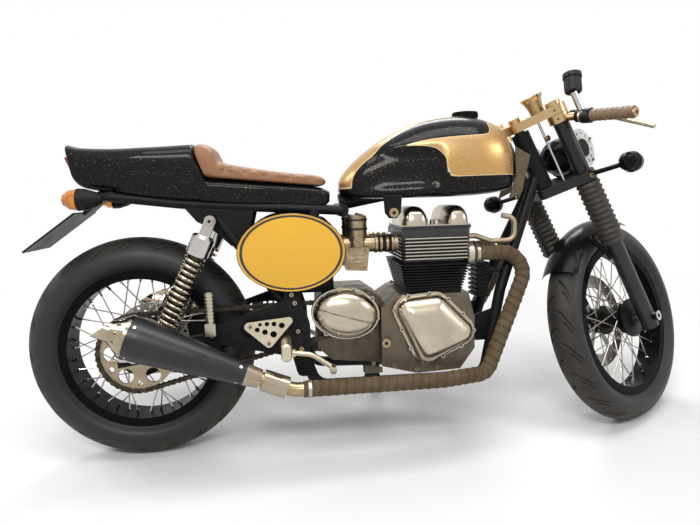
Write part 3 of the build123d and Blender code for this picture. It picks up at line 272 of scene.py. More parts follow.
# %% Floor
FLOOR_HALF = 30
FLOOR_CORNERS = ((-1, -1), (1, -1), (1, 1), (-1, 1))
FLOOR_NEAR, FLOOR_FAR = 1.0, 2.4
scene.view_settings.view_transform = "Standard"


def background_rays(tree):
    """1 for rays that show the background itself: from the camera, off metal and through glass."""
    rays = tree.nodes.new("ShaderNodeLightPath").outputs
    seen = math_node(tree, "MAXIMUM", rays["Is Camera Ray"], rays["Is Glossy Ray"])
    return math_node(tree, "MAXIMUM", seen, rays["Is Transmission Ray"])


# Pale paper that shows shadows near the machine and is plain white further off
floor_paper, tree, paper = start_material("floor_paper")
dress(tree, paper, colour=(0.84, 0.84, 0.835), rough=0.9)
away = tree.nodes.new("ShaderNodeVectorMath")
away.operation = "LENGTH"
tree.links.new(object_place(tree), away.inputs[0])
fade = ramp(tree, away.outputs["Value"], FLOOR_NEAR, FLOOR_FAR, blend="SMOOTHSTEP")
white = tree.nodes.new("ShaderNodeEmission")
mix_shaders(tree, math_node(tree, "MULTIPLY", fade, background_rays(tree)), paper.outputs["BSDF"],
            white.outputs["Emission"], tree.nodes["Material Output"])

floor_mesh = bpy.data.meshes.new("studio_floor")
floor_mesh.from_pydata([(x * FLOOR_HALF, y * FLOOR_HALF, 0) for x, y in FLOOR_CORNERS], [], [(0, 1, 2, 3)])
floor_mesh.materials.append(floor_paper)
floor = bpy.data.objects.new("studio_floor", floor_mesh)
scene.collection.objects.link(floor)
floor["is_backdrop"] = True
print("floor", 2 * FLOOR_HALF, "m wide")

# %% Lamps and world
LAMPS = (
    # name, place in metres, looks at, width, height, watts
    ("overhead", (0.0, -0.4, 3.4), (0, 0, 0.5), 3.0, 1.2, 60),
    ("right_high", (-1.0, -3.0, 3.5), (0, 0, 0.6), 2.6, 0.9, 95),
    ("front_high", (3.2, -1.8, 2.6), (0.3, 0, 0.5), 1.2, 1.0, 30),
    ("left_high", (0.4, 3.2, 3.2), (0, 0, 0.5), 2.6, 1.0, 80),
    ("tail_high", (-3.3, 0.8, 2.6), (-0.3, 0, 0.5), 1.4, 1.0, 30),
)
ROOM_COLOUR, ROOM_STRENGTH = (0.86, 0.87, 0.9, 1), 0.26
for name, place, aim, width, height, watts in LAMPS:
    lamp = bpy.data.lights.new(name, "AREA")
    lamp.shape = "RECTANGLE"
    lamp.size = width
    lamp.size_y = height
    lamp.energy = watts
    holder = bpy.data.objects.new(name, lamp)
    holder.location = place
    holder.rotation_euler = (Vector(aim) - Vector(place)).to_track_quat("-Z", "Y").to_euler()
    scene.collection.objects.link(holder)

world = bpy.data.worlds.new("studio")
scene.world = world
world.use_nodes = True
tree = world.node_tree
room = tree.nodes["Background"]
room.inputs["Color"].default_value = ROOM_COLOUR
room.inputs["Strength"].default_value = ROOM_STRENGTH
paper = tree.nodes.new("ShaderNodeBackground")
paper.inputs["Color"].default_value = (1, 1, 1, 1)
mix_shaders(tree, background_rays(tree), room.outputs["Background"], paper.outputs["Background"],
            tree.nodes["World Output"])
print("lamps", len(LAMPS))

# %% [markdown]
# Shared surface effects
#
# No real surface is one flat colour. Three effects come back on many finishes here: uneven patches and fine
# grain, flakes of metal in paint, and dust that settles low on the machine. A fourth works a place on the
# parked machine back to the upright one. Each is a node group, built once.

# %% Node group: patches and grain
GRAIN, grain_in, grain_out = new_group("patches and grain", "ShaderNodeTree", (
    ("Patch size", "Float"), ("Grain size", "Float")), (("Patch", "Float"), ("Grain", "Float")))
place = object_place(GRAIN)
patch = noise(GRAIN, place, math_node(GRAIN, "DIVIDE", 1.0, grain_in["Patch size"]))
grain = noise(GRAIN, place, math_node(GRAIN, "DIVIDE", 1.0, grain_in["Grain size"]), 2.0)
GRAIN.links.new(ramp(GRAIN, patch, 0.3, 0.7), grain_out["Patch"])
GRAIN.links.new(grain, grain_out["Grain"])


def grain_marks(tree, patch_size, grain_size):
    """Patch and grain sockets, for sizes in millimetres."""
    marks = use_group(tree, GRAIN, (("Patch size", patch_size * MM), ("Grain size", grain_size * MM)))
    return marks["Patch"], marks["Grain"]


print("group", GRAIN.name)

# %% Node group: metal flake in paint
FLAKE_EDGE = 0.42
FLAKE, flake_in, flake_out = new_group("metal flake", "ShaderNodeTree", (
    ("Flake size", "Float"), ("Share", "Float")), (("Flake", "Float"), ("Tint", "Float")))
cells = FLAKE.nodes.new("ShaderNodeTexVoronoi")
feed(FLAKE, cells.inputs["Vector"], object_place(FLAKE))
feed(FLAKE, cells.inputs["Scale"], math_node(FLAKE, "DIVIDE", 1.0, flake_in["Flake size"]))
pick = FLAKE.nodes.new("ShaderNodeSeparateColor")
FLAKE.links.new(cells.outputs["Color"], pick.inputs["Color"])
chosen = math_node(FLAKE, "LESS_THAN", pick.outputs["Red"], flake_in["Share"])
inside = math_node(FLAKE, "LESS_THAN", cells.outputs["Distance"], FLAKE_EDGE)
FLAKE.links.new(math_node(FLAKE, "MULTIPLY", chosen, inside), flake_out["Flake"])
FLAKE.links.new(pick.outputs["Green"], flake_out["Tint"])
print("group", FLAKE.name)

# %% Node group: dust low on the machine
DUST, dust_in, dust_out = new_group("settled dust", "ShaderNodeTree", (
    ("Height", "Float"), ("Amount", "Float")), (("Dust", "Float"),))
place = object_place(DUST)
split = DUST.nodes.new("ShaderNodeSeparateXYZ")
DUST.links.new(place, split.inputs["Vector"])
risen = math_node(DUST, "DIVIDE", split.outputs["Z"], dust_in["Height"])
low = math_node(DUST, "SUBTRACT", 1.0, risen, True)
speckle = ramp(DUST, noise(DUST, place, 55.0, 6.0), 0.35, 0.75)
dusty = math_node(DUST, "MULTIPLY", math_node(DUST, "MULTIPLY", low, speckle), dust_in["Amount"], True)
DUST.links.new(dusty, dust_out["Dust"])


def settled_dust(tree, height, amount):
    """Dust socket: the amount at the floor, none above a height in metres."""
    return use_group(tree, DUST, (("Height", height), ("Amount", amount)))["Dust"]


print("group", DUST.name)

# %% Node group: upright place
UPRIGHT, _, upright_out = new_group("upright place", "ShaderNodeTree", (), (("Place", "Vector"),))
lifted = UPRIGHT.nodes.new("ShaderNodeVectorMath")
lifted.operation = "SUBTRACT"
lifted.inputs[1].default_value = SET_DOWN * MM
UPRIGHT.links.new(object_place(UPRIGHT), lifted.inputs[0])
place = lifted.outputs["Vector"]
for axis, angle in (("Y_AXIS", -PITCH), ("X_AXIS", -LEAN)):
    turned = UPRIGHT.nodes.new("ShaderNodeVectorRotate")
    turned.rotation_type = axis
    turned.inputs["Angle"].default_value = angle
    UPRIGHT.links.new(place, turned.inputs["Vector"])
    place = turned.outputs["Vector"]
UPRIGHT.links.new(place, upright_out["Place"])


def upright_place(tree):
    """X, Y and Z sockets of the upright place in metres."""
    there = tree.nodes.new("ShaderNodeSeparateXYZ")
    tree.links.new(use_group(tree, UPRIGHT)["Place"], there.inputs["Vector"])
    return there.outputs["X"], there.outputs["Y"], there.outputs["Z"]


print("group", UPRIGHT.name)

# %% [markdown]
# Plain finishes
#
# Most pieces have one of two dozen finishes that differ only in numbers: the colour and a second colour that
# shows in patches, how metallic and how rough they are, and how deep their grain is. One function builds them
# from a table. Gloss paint has a clear coat; cast metal and rubber have a grain that can be felt.

# %% Table of plain finishes
FINISHES = (
    # name, colour, second colour, metal, smooth, rough, patch mm, grain mm, grain depth mm, coat, dust, shine
    ("gloss_black", (0.004, 0.004, 0.005), (0.006, 0.006, 0.007), 0, 0.16, 0.24, 100, 4, 0, 0.05, 0, 0.07),
    ("rim_black", (0.004, 0.004, 0.005), (0.006, 0.006, 0.007), 0, 0.24, 0.34, 100, 4, 0, 0, 0, 0.035),
    ("satin_black", (0.006, 0.006, 0.0065), (0.011, 0.0105, 0.01), 0, 0.36, 0.5, 60, 1.2, 0.08, 0, 0.06,
     0.12),
    ("smoke_black", (0.011, 0.011, 0.013), (0.017, 0.017, 0.02), 0, 0.3, 0.38, 60, 1.2, 0.04, 0, 0.06, 0.4),
    ("polished_alloy", (0.54, 0.475, 0.375), (0.44, 0.38, 0.29), 1, 0.17, 0.29, 50, 0.9, 0.01, 0, 0, 0.5),
    ("cast_alloy", (0.165, 0.135, 0.1), (0.105, 0.085, 0.063), 1, 0.42, 0.58, 40, 1.6, 0.22, 0, 0.2, 0.5),
    ("gold_anodised", (0.56, 0.4, 0.22), (0.45, 0.315, 0.165), 1, 0.26, 0.38, 50, 1, 0.03, 0, 0, 0.5),
    ("pale_gold", (0.64, 0.565, 0.43), (0.54, 0.47, 0.35), 1, 0.28, 0.42, 40, 1, 0.03, 0, 0, 0.5),
    ("chrome", (0.58, 0.565, 0.54), (0.5, 0.485, 0.465), 1, 0.08, 0.16, 60, 1, 0, 0, 0, 0.5),
    ("warm_chrome", (0.45, 0.385, 0.29), (0.33, 0.27, 0.19), 1, 0.12, 0.22, 40, 1, 0.02, 0, 0, 0.5),
    ("brushed_steel", (0.46, 0.43, 0.385), (0.36, 0.335, 0.3), 1, 0.26, 0.4, 30, 1, 0.04, 0, 0, 0.5),
    ("tan_steel", (0.4, 0.33, 0.225), (0.3, 0.24, 0.155), 1, 0.38, 0.5, 30, 1.2, 0.05, 0, 0.15, 0.5),
    ("warm_steel", (0.42, 0.32, 0.185), (0.31, 0.22, 0.125), 1, 0.22, 0.36, 30, 1, 0.04, 0, 0, 0.5),
    ("dark_steel", (0.075, 0.064, 0.05), (0.04, 0.034, 0.028), 1, 0.38, 0.54, 20, 1.2, 0.06, 0, 0.1, 0.5),
    ("brass", (0.46, 0.345, 0.2), (0.32, 0.235, 0.135), 1, 0.26, 0.44, 30, 1.2, 0.05, 0, 0, 0.5),
    ("carb_alloy", (0.4, 0.315, 0.205), (0.235, 0.175, 0.105), 1, 0.3, 0.46, 20, 1.2, 0.08, 0, 0, 0.5),
    ("black_rubber", (0.01, 0.0095, 0.009), (0.018, 0.017, 0.016), 0, 0.5, 0.68, 40, 1.2, 0.1, 0, 0.08, 0.2),
    ("gaiter_rubber", (0.046, 0.038, 0.031), (0.032, 0.027, 0.022), 0, 0.46, 0.62, 40, 1.2, 0.1, 0, 0, 0.3),
    ("black_plastic", (0.008, 0.008, 0.0085), (0.014, 0.014, 0.014), 0, 0.28, 0.4, 50, 0.9, 0.04, 0, 0, 0.25),
    ("white_paint", (0.62, 0.62, 0.6), (0.52, 0.52, 0.5), 0, 0.3, 0.4, 50, 2, 0.02, 0.3, 0, 0.5),
    ("stone_grey", (0.15, 0.112, 0.076), (0.105, 0.078, 0.054), 0.5, 0.38, 0.5, 50, 1.2, 0.06, 0, 0, 0.5),
    ("fork_black", (0.014, 0.0115, 0.01), (0.009, 0.008, 0.008), 0.1, 0.22, 0.32, 60, 1.2, 0.03, 0, 0, 0.35),
    ("brown_leather", (0.215, 0.142, 0.082), (0.14, 0.088, 0.05), 0, 0.38, 0.55, 20, 1.2, 0.2, 0, 0, 0.4),
    ("thread", (0.55, 0.36, 0.22), (0.46, 0.29, 0.17), 0, 0.6, 0.8, 20, 0.6, 0.1, 0, 0, 0.3),
)
DUST_COLOUR, DUST_HEIGHT, DUST_ROUGH = (0.16, 0.13, 0.095), 0.55, 0.8
COAT_ROUGH = 0.03


def plain_finish(name, colour, second, metal, smooth, rough, patch_size, grain_size, depth, coat, dust,
                 shine):
    """One material of the table."""
    material, tree, shader = start_material(name)
    patch, grain = grain_marks(tree, patch_size, grain_size)
    shade = mix_colour(tree, patch, colour, second)
    roughness = ramp(tree, patch, 0.0, 1.0, smooth, rough)
    if dust:
        settled = settled_dust(tree, DUST_HEIGHT, dust)
        shade = mix_colour(tree, settled, shade, DUST_COLOUR)
        roughness = math_node(tree, "MAXIMUM", roughness, ramp(tree, settled, 0.0, 1.0, 0.0, DUST_ROUGH))
    dress(tree, shader, colour=shade, rough=roughness, metal=metal, coat=coat, coat_rough=COAT_ROUGH,
          shine=shine)
    if depth:
        bump(tree, shader, grain, depth)
    return material


finish = {row[0]: plain_finish(*row) for row in FINISHES}
print("finishes", len(finish))

# %% [markdown]
# Lenses
#
# Coloured lamp glass is a clear body with a tint. The lens lets light through, so it needs transmission
# rather than plain paint; a faint ribbing catches the light.

# %% Lens materials
LENSES = (
    # name, tint, rib size in metres
    ("amber_lens", (0.80, 0.30, 0.03), 0.02),
    ("red_lens", (0.45, 0.015, 0.012), 0.02),
    ("lamp_glass", (0.80, 0.84, 0.86), 0.04),
)
for name, tint, rib_size in LENSES:
    finish[name], tree, shader = start_material(name)
    dress(tree, shader, colour=tint, rough=0.08, through=0.55)
    bump(tree, shader, waves(tree, "Y", 1 / rib_size), 0.4)
print("lenses", len(LENSES))

# %% First finish of every solid
NODE_FINISH = {
    "satin_black": ("swingarm", "footrest_brackets", "oil_cooler", "side_stand", "tail_fittings",
                    "rear_caliper", "front_caliper", "cylinder_barrels", "cylinder_head",
                    "air_intake", "rear_hub", "front_hub", "main_frame"),
    "smoke_black": ("silencers", "fork_lowers"),
    "gloss_black": ("fuel_tank", "seat_cowl", "seat_pad", "headlamp_shell", "front_mudguard",
                    "front_indicators", "fuel_cap"),
    "rim_black": ("front_rim", "rear_rim"),
    "polished_alloy": ("engine_covers", "cam_covers", "passenger_pegs"),
    "cast_alloy": ("crankcase",),
    "gold_anodised": ("top_yoke", "clip_on_bars"),
    "pale_gold": ("rider_footrests", "control_levers"),
    "chrome": ("shock_dampers", "shock_springs", "front_axle", "rear_axle"),
    "warm_chrome": ("silencer_caps",),
    "brushed_steel": ("front_disc", "rear_disc", "front_spokes", "rear_spokes"),
    "tan_steel": ("rear_sprocket", "breather_pipe"),
    "dark_steel": ("drive_chain",),
    "brass": ("gauge",),
    "carb_alloy": ("carburettors",),
    "black_rubber": ("front_brake_hose", "front_tyre", "rear_tyre", "grips", "header_pipes"),
    "gaiter_rubber": ("fork_gaiters",),
    "black_plastic": ("brake_reservoir",),
    "white_paint": ("headlamp_brackets", "number_plates"),
    "fork_black": ("fork_crown",),
    "amber_lens": ("rear_lenses",),
    "red_lens": ("tail_lamp",),
    "lamp_glass": ("headlamp_lens",),
}


def paint(node_name, material):
    """Gives a solid one material."""
    nodes[node_name].data.materials.clear()
    nodes[node_name].data.materials.append(material)


for look, names in NODE_FINISH.items():
    for name in names:
        paint(name, finish[look])
print("painted", sum(len(names) for names in NODE_FINISH.values()), "of", len(nodes))

# %% [markdown]
# Solids with two finishes
#
# Some solids are two things in the eye: the frame's head plates are grey where its tubes are black, the
# rocker domes are polished above a black foot, and a damper is dark inside its spring. A material can tell
# them apart by place: it works back to the upright machine and asks between which limits the point lies.

# %% Two finishes told apart by place
METAL, SMOOTH, ROUGH, SHINE = 3, 4, 5, 11
SHOCK_LOW, SHOCK_TOP = Vector((-668, 0, 362)), Vector((-519, 0, 684))
SPRING_FROM, SPRING_TO = 42.5, 255.5
shock_way = (SHOCK_TOP - SHOCK_LOW).normalized()


def between(tree, value, low, high):
    """1 where a value in metres lies between two limits in millimetres."""
    return math_node(tree, "MULTIPLY", math_node(tree, "GREATER_THAN", value, low * MM),
                     math_node(tree, "LESS_THAN", value, high * MM))


def split_finish(name, main, other, where):
    """Material with one row of the table, and another row where a function of the tree gives 1."""
    rows = {row[0]: row for row in FINISHES}
    first, second = rows[main], rows[other]
    material, tree, shader = start_material(name)
    share = where(tree)
    patch, grain = grain_marks(tree, 50, 1.2)
    looks = [mix_colour(tree, patch, row[1], row[2]) for row in (first, second)]
    uneven = math_node(tree, "MULTIPLY", patch, first[ROUGH] - first[SMOOTH])
    smooth = ramp(tree, share, 0.0, 1.0, first[SMOOTH], second[SMOOTH])
    dress(tree, shader, colour=mix_colour(tree, share, *looks), rough=math_node(tree, "ADD", smooth, uneven),
          metal=ramp(tree, share, 0.0, 1.0, first[METAL], second[METAL]), shine=first[SHINE])
    bump(tree, shader, grain, 0.04)
    return material


def head_plates(tree):
    """The two plates beside the frame's head."""
    x, y, z = upright_place(tree)
    aside = between(tree, math_node(tree, "ABSOLUTE", y), 39.5, 44.5)
    ahead = math_node(tree, "MULTIPLY", between(tree, x, 340, 416), between(tree, z, 712, 876))
    return math_node(tree, "MULTIPLY", aside, ahead)


def dome_foot(tree):
    """The foot of the rocker domes."""
    return between(tree, upright_place(tree)[2], 600, 649)


def inside_spring(tree):
    """The damper's body between its spring seats."""
    x, _, z = upright_place(tree)
    along = math_node(tree, "ADD", math_node(tree, "MULTIPLY", x, shock_way.x),
                      math_node(tree, "MULTIPLY", z, shock_way.z))
    start = SHOCK_LOW.dot(shock_way)
    return between(tree, along, start + SPRING_FROM, start + SPRING_TO)


SPLIT_FINISHES = (
    # solid, finish, second finish, where the second one is
    ("main_frame", "satin_black", "stone_grey", head_plates),
    ("cam_covers", "polished_alloy", "satin_black", dome_foot),
    ("shock_dampers", "chrome", "dark_steel", inside_spring),
)
for node_name, main, other, where in SPLIT_FINISHES:
    paint(node_name, split_finish(node_name + "_finish", main, other, where))
print("split", len(SPLIT_FINISHES), "solids")

# %% [markdown]
# Making a piece
#
# Every modelled piece is a mesh drawn in upright millimetres, put in its place on the parked machine and made
# to ride on the body that carries it. A few helpers do the repeated work: rings of points become a skin, a
# table of a few sections becomes a smooth row of them, and a bent bar becomes a row of points to sweep along.

# %% Helpers for meshes
WELD = 2e-6


def hand_in(piece, body, replaces):
    """Makes a piece ride on its body, and hides the solids that it stands for."""
    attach(piece, body)
    if replaces:
        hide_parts(*replaces)


def make_piece(name, shape, body, material, replaces=(), crease=None):
    """Mesh from (verts, faces) in upright millimetres, put in place, smoothed and made to ride on its body;
    the solids it replaces are hidden.
    """
    verts, faces = shape
    mesh = bpy.data.meshes.new(name)
    mesh.from_pydata([PLACES[body] @ Vector(v) for v in verts], [], faces)
    tidy = bmesh.new()
    tidy.from_mesh(mesh)
    bmesh.ops.remove_doubles(tidy, verts=tidy.verts, dist=WELD)
    bmesh.ops.recalc_face_normals(tidy, faces=tidy.faces)
    for face in tidy.faces:
        face.smooth = True
    tidy.to_mesh(mesh)
    tidy.free()
    if crease:
        mesh.set_sharp_from_angle(angle=math.radians(crease))
    mesh.materials.append(material)
    made = bpy.data.objects.new(name, mesh)
    scene.collection.objects.link(made)
    hand_in(made, body, replaces)
    print(name, len(mesh.polygons), "faces")
    return made


def skin(rings, capped=True):
    """Faces between rings of points of equal count."""
    count = len(rings[0])
    verts = [tuple(point) for ring in rings for point in ring]
    faces = []
    for row in range(len(rings) - 1):
        low, high = row * count, (row + 1) * count
        for spot in range(count):
            after = (spot + 1) % count
            faces.append((low + spot, low + after, high + after, high + spot))
    if capped:
        faces.append(tuple(reversed(range(count))))
        faces.append(tuple(range(len(verts) - count, len(verts))))
    return verts, faces


def joined(parts):
    """Several (verts, faces) as one."""
    verts, faces = [], []
    for some_verts, some_faces in parts:
        start = len(verts)
        verts += some_verts
        faces += [tuple(index + start for index in face) for face in some_faces]
    return verts, faces


def round_xz(angle, radius, y=0.0, radius_z=None):
    """Offset on a circle or an oval that faces sideways."""
    return Vector((radius * math.cos(angle), y, (radius_z or radius) * math.sin(angle)))


def about(first, second, angle):
    """Direction turned by an angle from one direction towards another that is square to it."""
    return first * math.cos(angle) + second * math.sin(angle)


def outwards(points):
    """Directions straight out to the side that each point is on."""
    return [Vector((0, math.copysign(1, point.y), 0)) for point in points]


def eased(rows, steps):
    """Rows of numbers with smooth rows put in between them."""
    rows = np.array(rows, float)
    padded_rows = np.vstack([2 * rows[0] - rows[1], rows, 2 * rows[-1] - rows[-2]])
    made = []
    for span in range(len(rows) - 1):
        before, start, end, after = padded_rows[span:span + 4]
        square = 2 * before - 5 * start + 4 * end - after
        cube = 3 * start - before - 3 * end + after
        for step in range(steps):
            t = step / steps
            made.append(0.5 * (2 * start + (end - before) * t + square * t * t + cube * t ** 3))
    made.append(rows[-1])
    return made


def step_between(low, high, value):
    """Smooth step from 0 at low to 1 at high, for numbers or arrays."""
    share = np.clip((np.asarray(value, float) - low) / (high - low), 0, 1)
    return share * share * (3 - 2 * share)


def run_lengths(points):
    """Distance along a row of points, at each of them."""
    lengths = [0]
    for start, end in zip(points, points[1:]):
        lengths.append(lengths[-1] + (end - start).length)
    return lengths


def evenly(points, count):
    """Points spaced evenly along a closed row of points."""
    closed = points + points[:1]
    lengths = run_lengths(closed)
    wanted = np.linspace(0, lengths[-1], count, endpoint=False)
    return [Vector(spot) for spot in zip(*(np.interp(wanted, lengths, line) for line in zip(*closed)))]


def bent_path(points, bends, spacing):
    """Points along straight runs joined by tangent arcs."""
    points = [Vector(p) for p in points]
    made = [points[0]]
    for corner, bend in zip(range(1, len(points) - 1), bends):
        into = (points[corner] - points[corner - 1]).normalized()
        out = (points[corner + 1] - points[corner]).normalized()
        angle = into.angle(out)
        reach = bend * math.tan(angle / 2)
        centre = points[corner] + (out - into).normalized() * bend / math.cos(angle / 2)
        axis = into.cross(out).normalized()
        spoke = points[corner] - into * reach - centre
        steps = max(2, int(angle * bend / spacing))
        for step in range(steps + 1):
            made.append(centre + Matrix.Rotation(angle * step / steps, 3, axis) @ spoke)
    made.append(points[-1])
    spread = [made[0]]
    for start, end in zip(made, made[1:]):
        steps = max(1, round((end - start).length / spacing))
        spread += [start.lerp(end, step / steps) for step in range(1, steps + 1)]
    return spread


def sweep_rings(path, radius, count):
    """Rings round a path; radius is a number or a function of (distance along, angle)."""
    rings = []
    ahead = (path[1] - path[0]).normalized()
    side = ahead.orthogonal().normalized()
    for number, (point, travelled) in enumerate(zip(path, run_lengths(path))):
        onward = (path[min(number + 1, len(path) - 1)] - path[max(number - 1, 0)]).normalized()
        side = ahead.rotation_difference(onward) @ side
        ahead = onward
        other = ahead.cross(side)
        ring = []
        for spot in range(count):
            angle = 2 * math.pi * spot / count
            size = radius(travelled, angle) if callable(radius) else radius
            ring.append(point + about(side, other, angle) * size)
        rings.append(ring)
    return rings


def upright_points(piece, body):
    """A piece's vertices back in upright millimetres, as an array."""
    flat = np.empty(len(piece.data.vertices) * 3, np.float32)
    piece.data.vertices.foreach_get("co", flat)
    back = np.array(PLACES[body].inverted())
    return flat.reshape(-1, 3) @ back[:3, :3].T + back[:3, 3]


def mark(piece, label, values):
    """Stores one number per vertex for a material to read."""
    attribute = piece.data.attributes.new(label, "FLOAT", "POINT")
    attribute.data.foreach_set("value", np.asarray(values, np.float32))


def inside_distance(outline, x, z):
    """Distance in millimetres from points to a closed outline, positive inside."""
    nearest = np.full(len(x), 1e9)
    inside = np.zeros(len(x), bool)
    for (x1, z1), (x2, z2) in zip(outline, outline[1:] + outline[:1]):
        run = (x2 - x1) ** 2 + (z2 - z1) ** 2
        share = np.clip(((x - x1) * (x2 - x1) + (z - z1) * (z2 - z1)) / max(run, 1e-9), 0, 1)
        nearest = np.minimum(nearest, np.hypot(x - x1 - share * (x2 - x1), z - z1 - share * (z2 - z1)))
        if z1 != z2:
            inside ^= ((z1 > z) != (z2 > z)) & (x < x1 + (z - z1) * (x2 - x1) / (z2 - z1))
    return np.where(inside, nearest, -nearest)


# %% [markdown]
# Painted bodywork
#
# The tank and the tail are black with fine gold flake under a clear coat. The tank also has a gold stripe
# along its ridge, wider at the rear, and a gold panel on each flank that runs over the nose, edged with a
# thin cream line. Each vertex stores how far it is inside the gold, in millimetres, and the material draws
# the edge and the line from that distance, so the edge stays crisp on a light mesh.

# %% Flake paint materials
BLACK_PAINT = (0.0035, 0.0035, 0.004)
FLAKE_BROWN = (0.42, 0.24, 0.07)
FLAKE_GOLD = (0.72, 0.46, 0.16)
PANEL_GOLD = (0.47, 0.25, 0.075)
PANEL_PALE = (0.43, 0.285, 0.135)
CREAM_LINE = (0.62, 0.48, 0.27)
FLAKES = (("Flake size", 0.0011), ("Share", 0.018))
for name in ("tail_paint", "tank_paint"):
    finish[name], tree, shader = start_material(name)
    fine = use_group(tree, FLAKE, FLAKES)
    tint, metal = fine["Tint"], fine["Flake"]
    colour = mix_colour(tree, metal, BLACK_PAINT, mix_colour(tree, tint, FLAKE_BROWN, FLAKE_GOLD))
    if name == "tank_paint":
        edge = vertex_mark(tree, "gold_inside")
        gold = ramp(tree, edge, -0.3, 0.3)
        line = math_node(tree, "MULTIPLY", ramp(tree, edge, -1.3, -0.9), ramp(tree, edge, 1.5, 1.1))
        panel = mix_colour(tree, grain_marks(tree, 160, 1.4)[0], PANEL_GOLD, PANEL_PALE)
        panel = mix_colour(tree, math_node(tree, "MULTIPLY", tint, 0.2), panel, FLAKE_GOLD)
        colour = mix_colour(tree, line, mix_colour(tree, gold, colour, panel), CREAM_LINE)
        metal = math_node(tree, "MAXIMUM", metal, math_node(tree, "MULTIPLY", gold, 0.72))
        metal = math_node(tree, "MULTIPLY", metal, math_node(tree, "SUBTRACT", 1.0, line))
    dress(tree, shader, colour=colour, metal=metal, rough=ramp(tree, tint, 0.0, 1.0, 0.24, 0.40), coat=0.22,
          coat_rough=0.02, shine=0.06)
    bump(tree, shader, tint, 0.02)
    print(name, len(tree.nodes), "nodes")

# %% Rounded sections for tank, tail and seat


def rounded_section(low, high, half, waist, top_power, base_power, count):
    """Ring in the plane of low to high and Y; waist is the widest height's share.

    The section is an oval at a power of 2 and squarer at higher ones.
    """
    rise = high - low
    ring = []
    for spot in range(count):
        angle = 2 * math.pi * (spot + 0.5) / count
        across, up = math.cos(angle), math.sin(angle)
        power = 2 / (top_power if up > 0 else base_power)
        y = half * math.copysign(abs(across) ** power, across)
        share = waist + (1 - waist if up > 0 else waist) * math.copysign(abs(up) ** power, up)
        point = low + rise * share
        ring.append(Vector((point.x, y, point.z)))
    return ring


def section_rows(rows, steps, *form):
    """Rounded sections of a table of low x, low z, high x, high z and half width."""
    return [rounded_section(Vector((low_x, 0, low_z)), Vector((high_x, 0, high_z)), half, *form)
            for low_x, low_z, high_x, high_z, half in eased(rows, steps)]


# %% Fuel tank
TANK_ROWS = (
    # x, half width, underside, ridge
    (-160, 26, 750, 782),
    (-148, 52, 740, 802),
    (-124, 74, 733, 830),
    (-87, 93, 730, 862),
    (-45, 106, 729, 892),
    (7, 117, 729, 921),
    (66, 126, 729, 945),
    (126, 131, 729, 958),
    (188, 133, 730, 963),
    (250, 130, 733, 957),
    (300, 118, 739, 941),
    (330, 100, 746, 917),
    (344, 82, 756, 890),
    (350, 58, 772, 866),
)
KNEE_DEPTH = 14
tank_rings = section_rows([(x, low, x, high, half) for x, half, low, high in TANK_ROWS], 7, 0.34, 2.5, 6, 112)
for ring in tank_rings:
    x = ring[0].x
    knee = step_between(-128, -20, x) * (1 - step_between(104, 136, x))
    for point in ring:
        hollow = knee * step_between(738, 782, point.z) * (1 - step_between(842, 884, point.z))
        point.y -= math.copysign(KNEE_DEPTH * hollow, point.y) * min(1, abs(point.y) / 60)
tank = make_piece("tank_skin", skin(tank_rings), "chassis", finish["tank_paint"],
                  ("fuel_tank",))

# %% Gold panels and stripe
PANEL_TOP = ((17, 875), (70, 887), (128, 894), (188, 898), (238, 901), (257, 904), (266, 914), (268, 934))
PANEL_NOSE = [(268, 1000), (420, 1000), (420, 790)]
PANEL_CUT = ((124, 786), (132, 803), (134, 820), (130, 841), (118, 857), (100, 868), (66, 874), (17, 875))
STRIPE_HALF, STRIPE_REAR, STRIPE_END, STRIPE_LOW = 44, 26, 300, 782
panel = [tuple(p) for p in eased(PANEL_TOP, 6)] + PANEL_NOSE + [tuple(p) for p in eased(PANEL_CUT, 6)][:-1]
x, y, z = upright_points(tank, "chassis").T
flank = inside_distance(panel, x, z)
stripe_half = STRIPE_HALF + STRIPE_REAR * (1 - step_between(-70, 130, x))
stripe = np.minimum(stripe_half - np.abs(y), (z - STRIPE_LOW) * 0.5 + 10)
stripe = np.minimum(stripe, STRIPE_END - x)
mark(tank, "gold_inside", np.maximum(flank, stripe))
print("gold at", int((np.maximum(flank, stripe) > 0).sum()), "of", len(x), "vertices")

# %% Tail cowl
TAIL_ROWS = (
    # low x, low z, high x, high z, half width
    (-890, 843, -901, 899, 71),
    (-887, 822, -899, 898, 79),
    (-877, 798, -891, 895.5, 86),
    (-850, 779, -863, 890.5, 93),
    (-780, 766, -784, 887, 102),
    (-700, 752, -700, 889, 110),
    (-620, 740, -620, 892, 114),
    (-576, 735, -577, 894, 115),
    (-560, 734, -565, 892, 115),
    (-548, 733, -558, 872, 115),
    (-537, 732, -546, 838, 115),
    (-526, 731, -534, 806, 115),
    (-512, 730, -520, 798, 114),
    (-480, 727, -480, 795, 114),
    (-370, 719, -370, 784, 107),
    (-250, 712, -250, 772, 96),
    (-212, 712, -212, 765, 88),
    (-194, 724, -192, 755, 74),
)
make_piece("tail_cowl", skin(section_rows(TAIL_ROWS, 5, 0.5, 4.2, 9, 96)), "chassis", finish["tail_paint"],
           ("seat_cowl",), 50)

# %% [markdown]
# Oval side plates
#
# Each plate is a slightly domed oval with a yellow field, a black ring set in from the edge and a dark
# outline. The vertices store how far out they are as a share of the oval, and the material changes colour at
# each share.

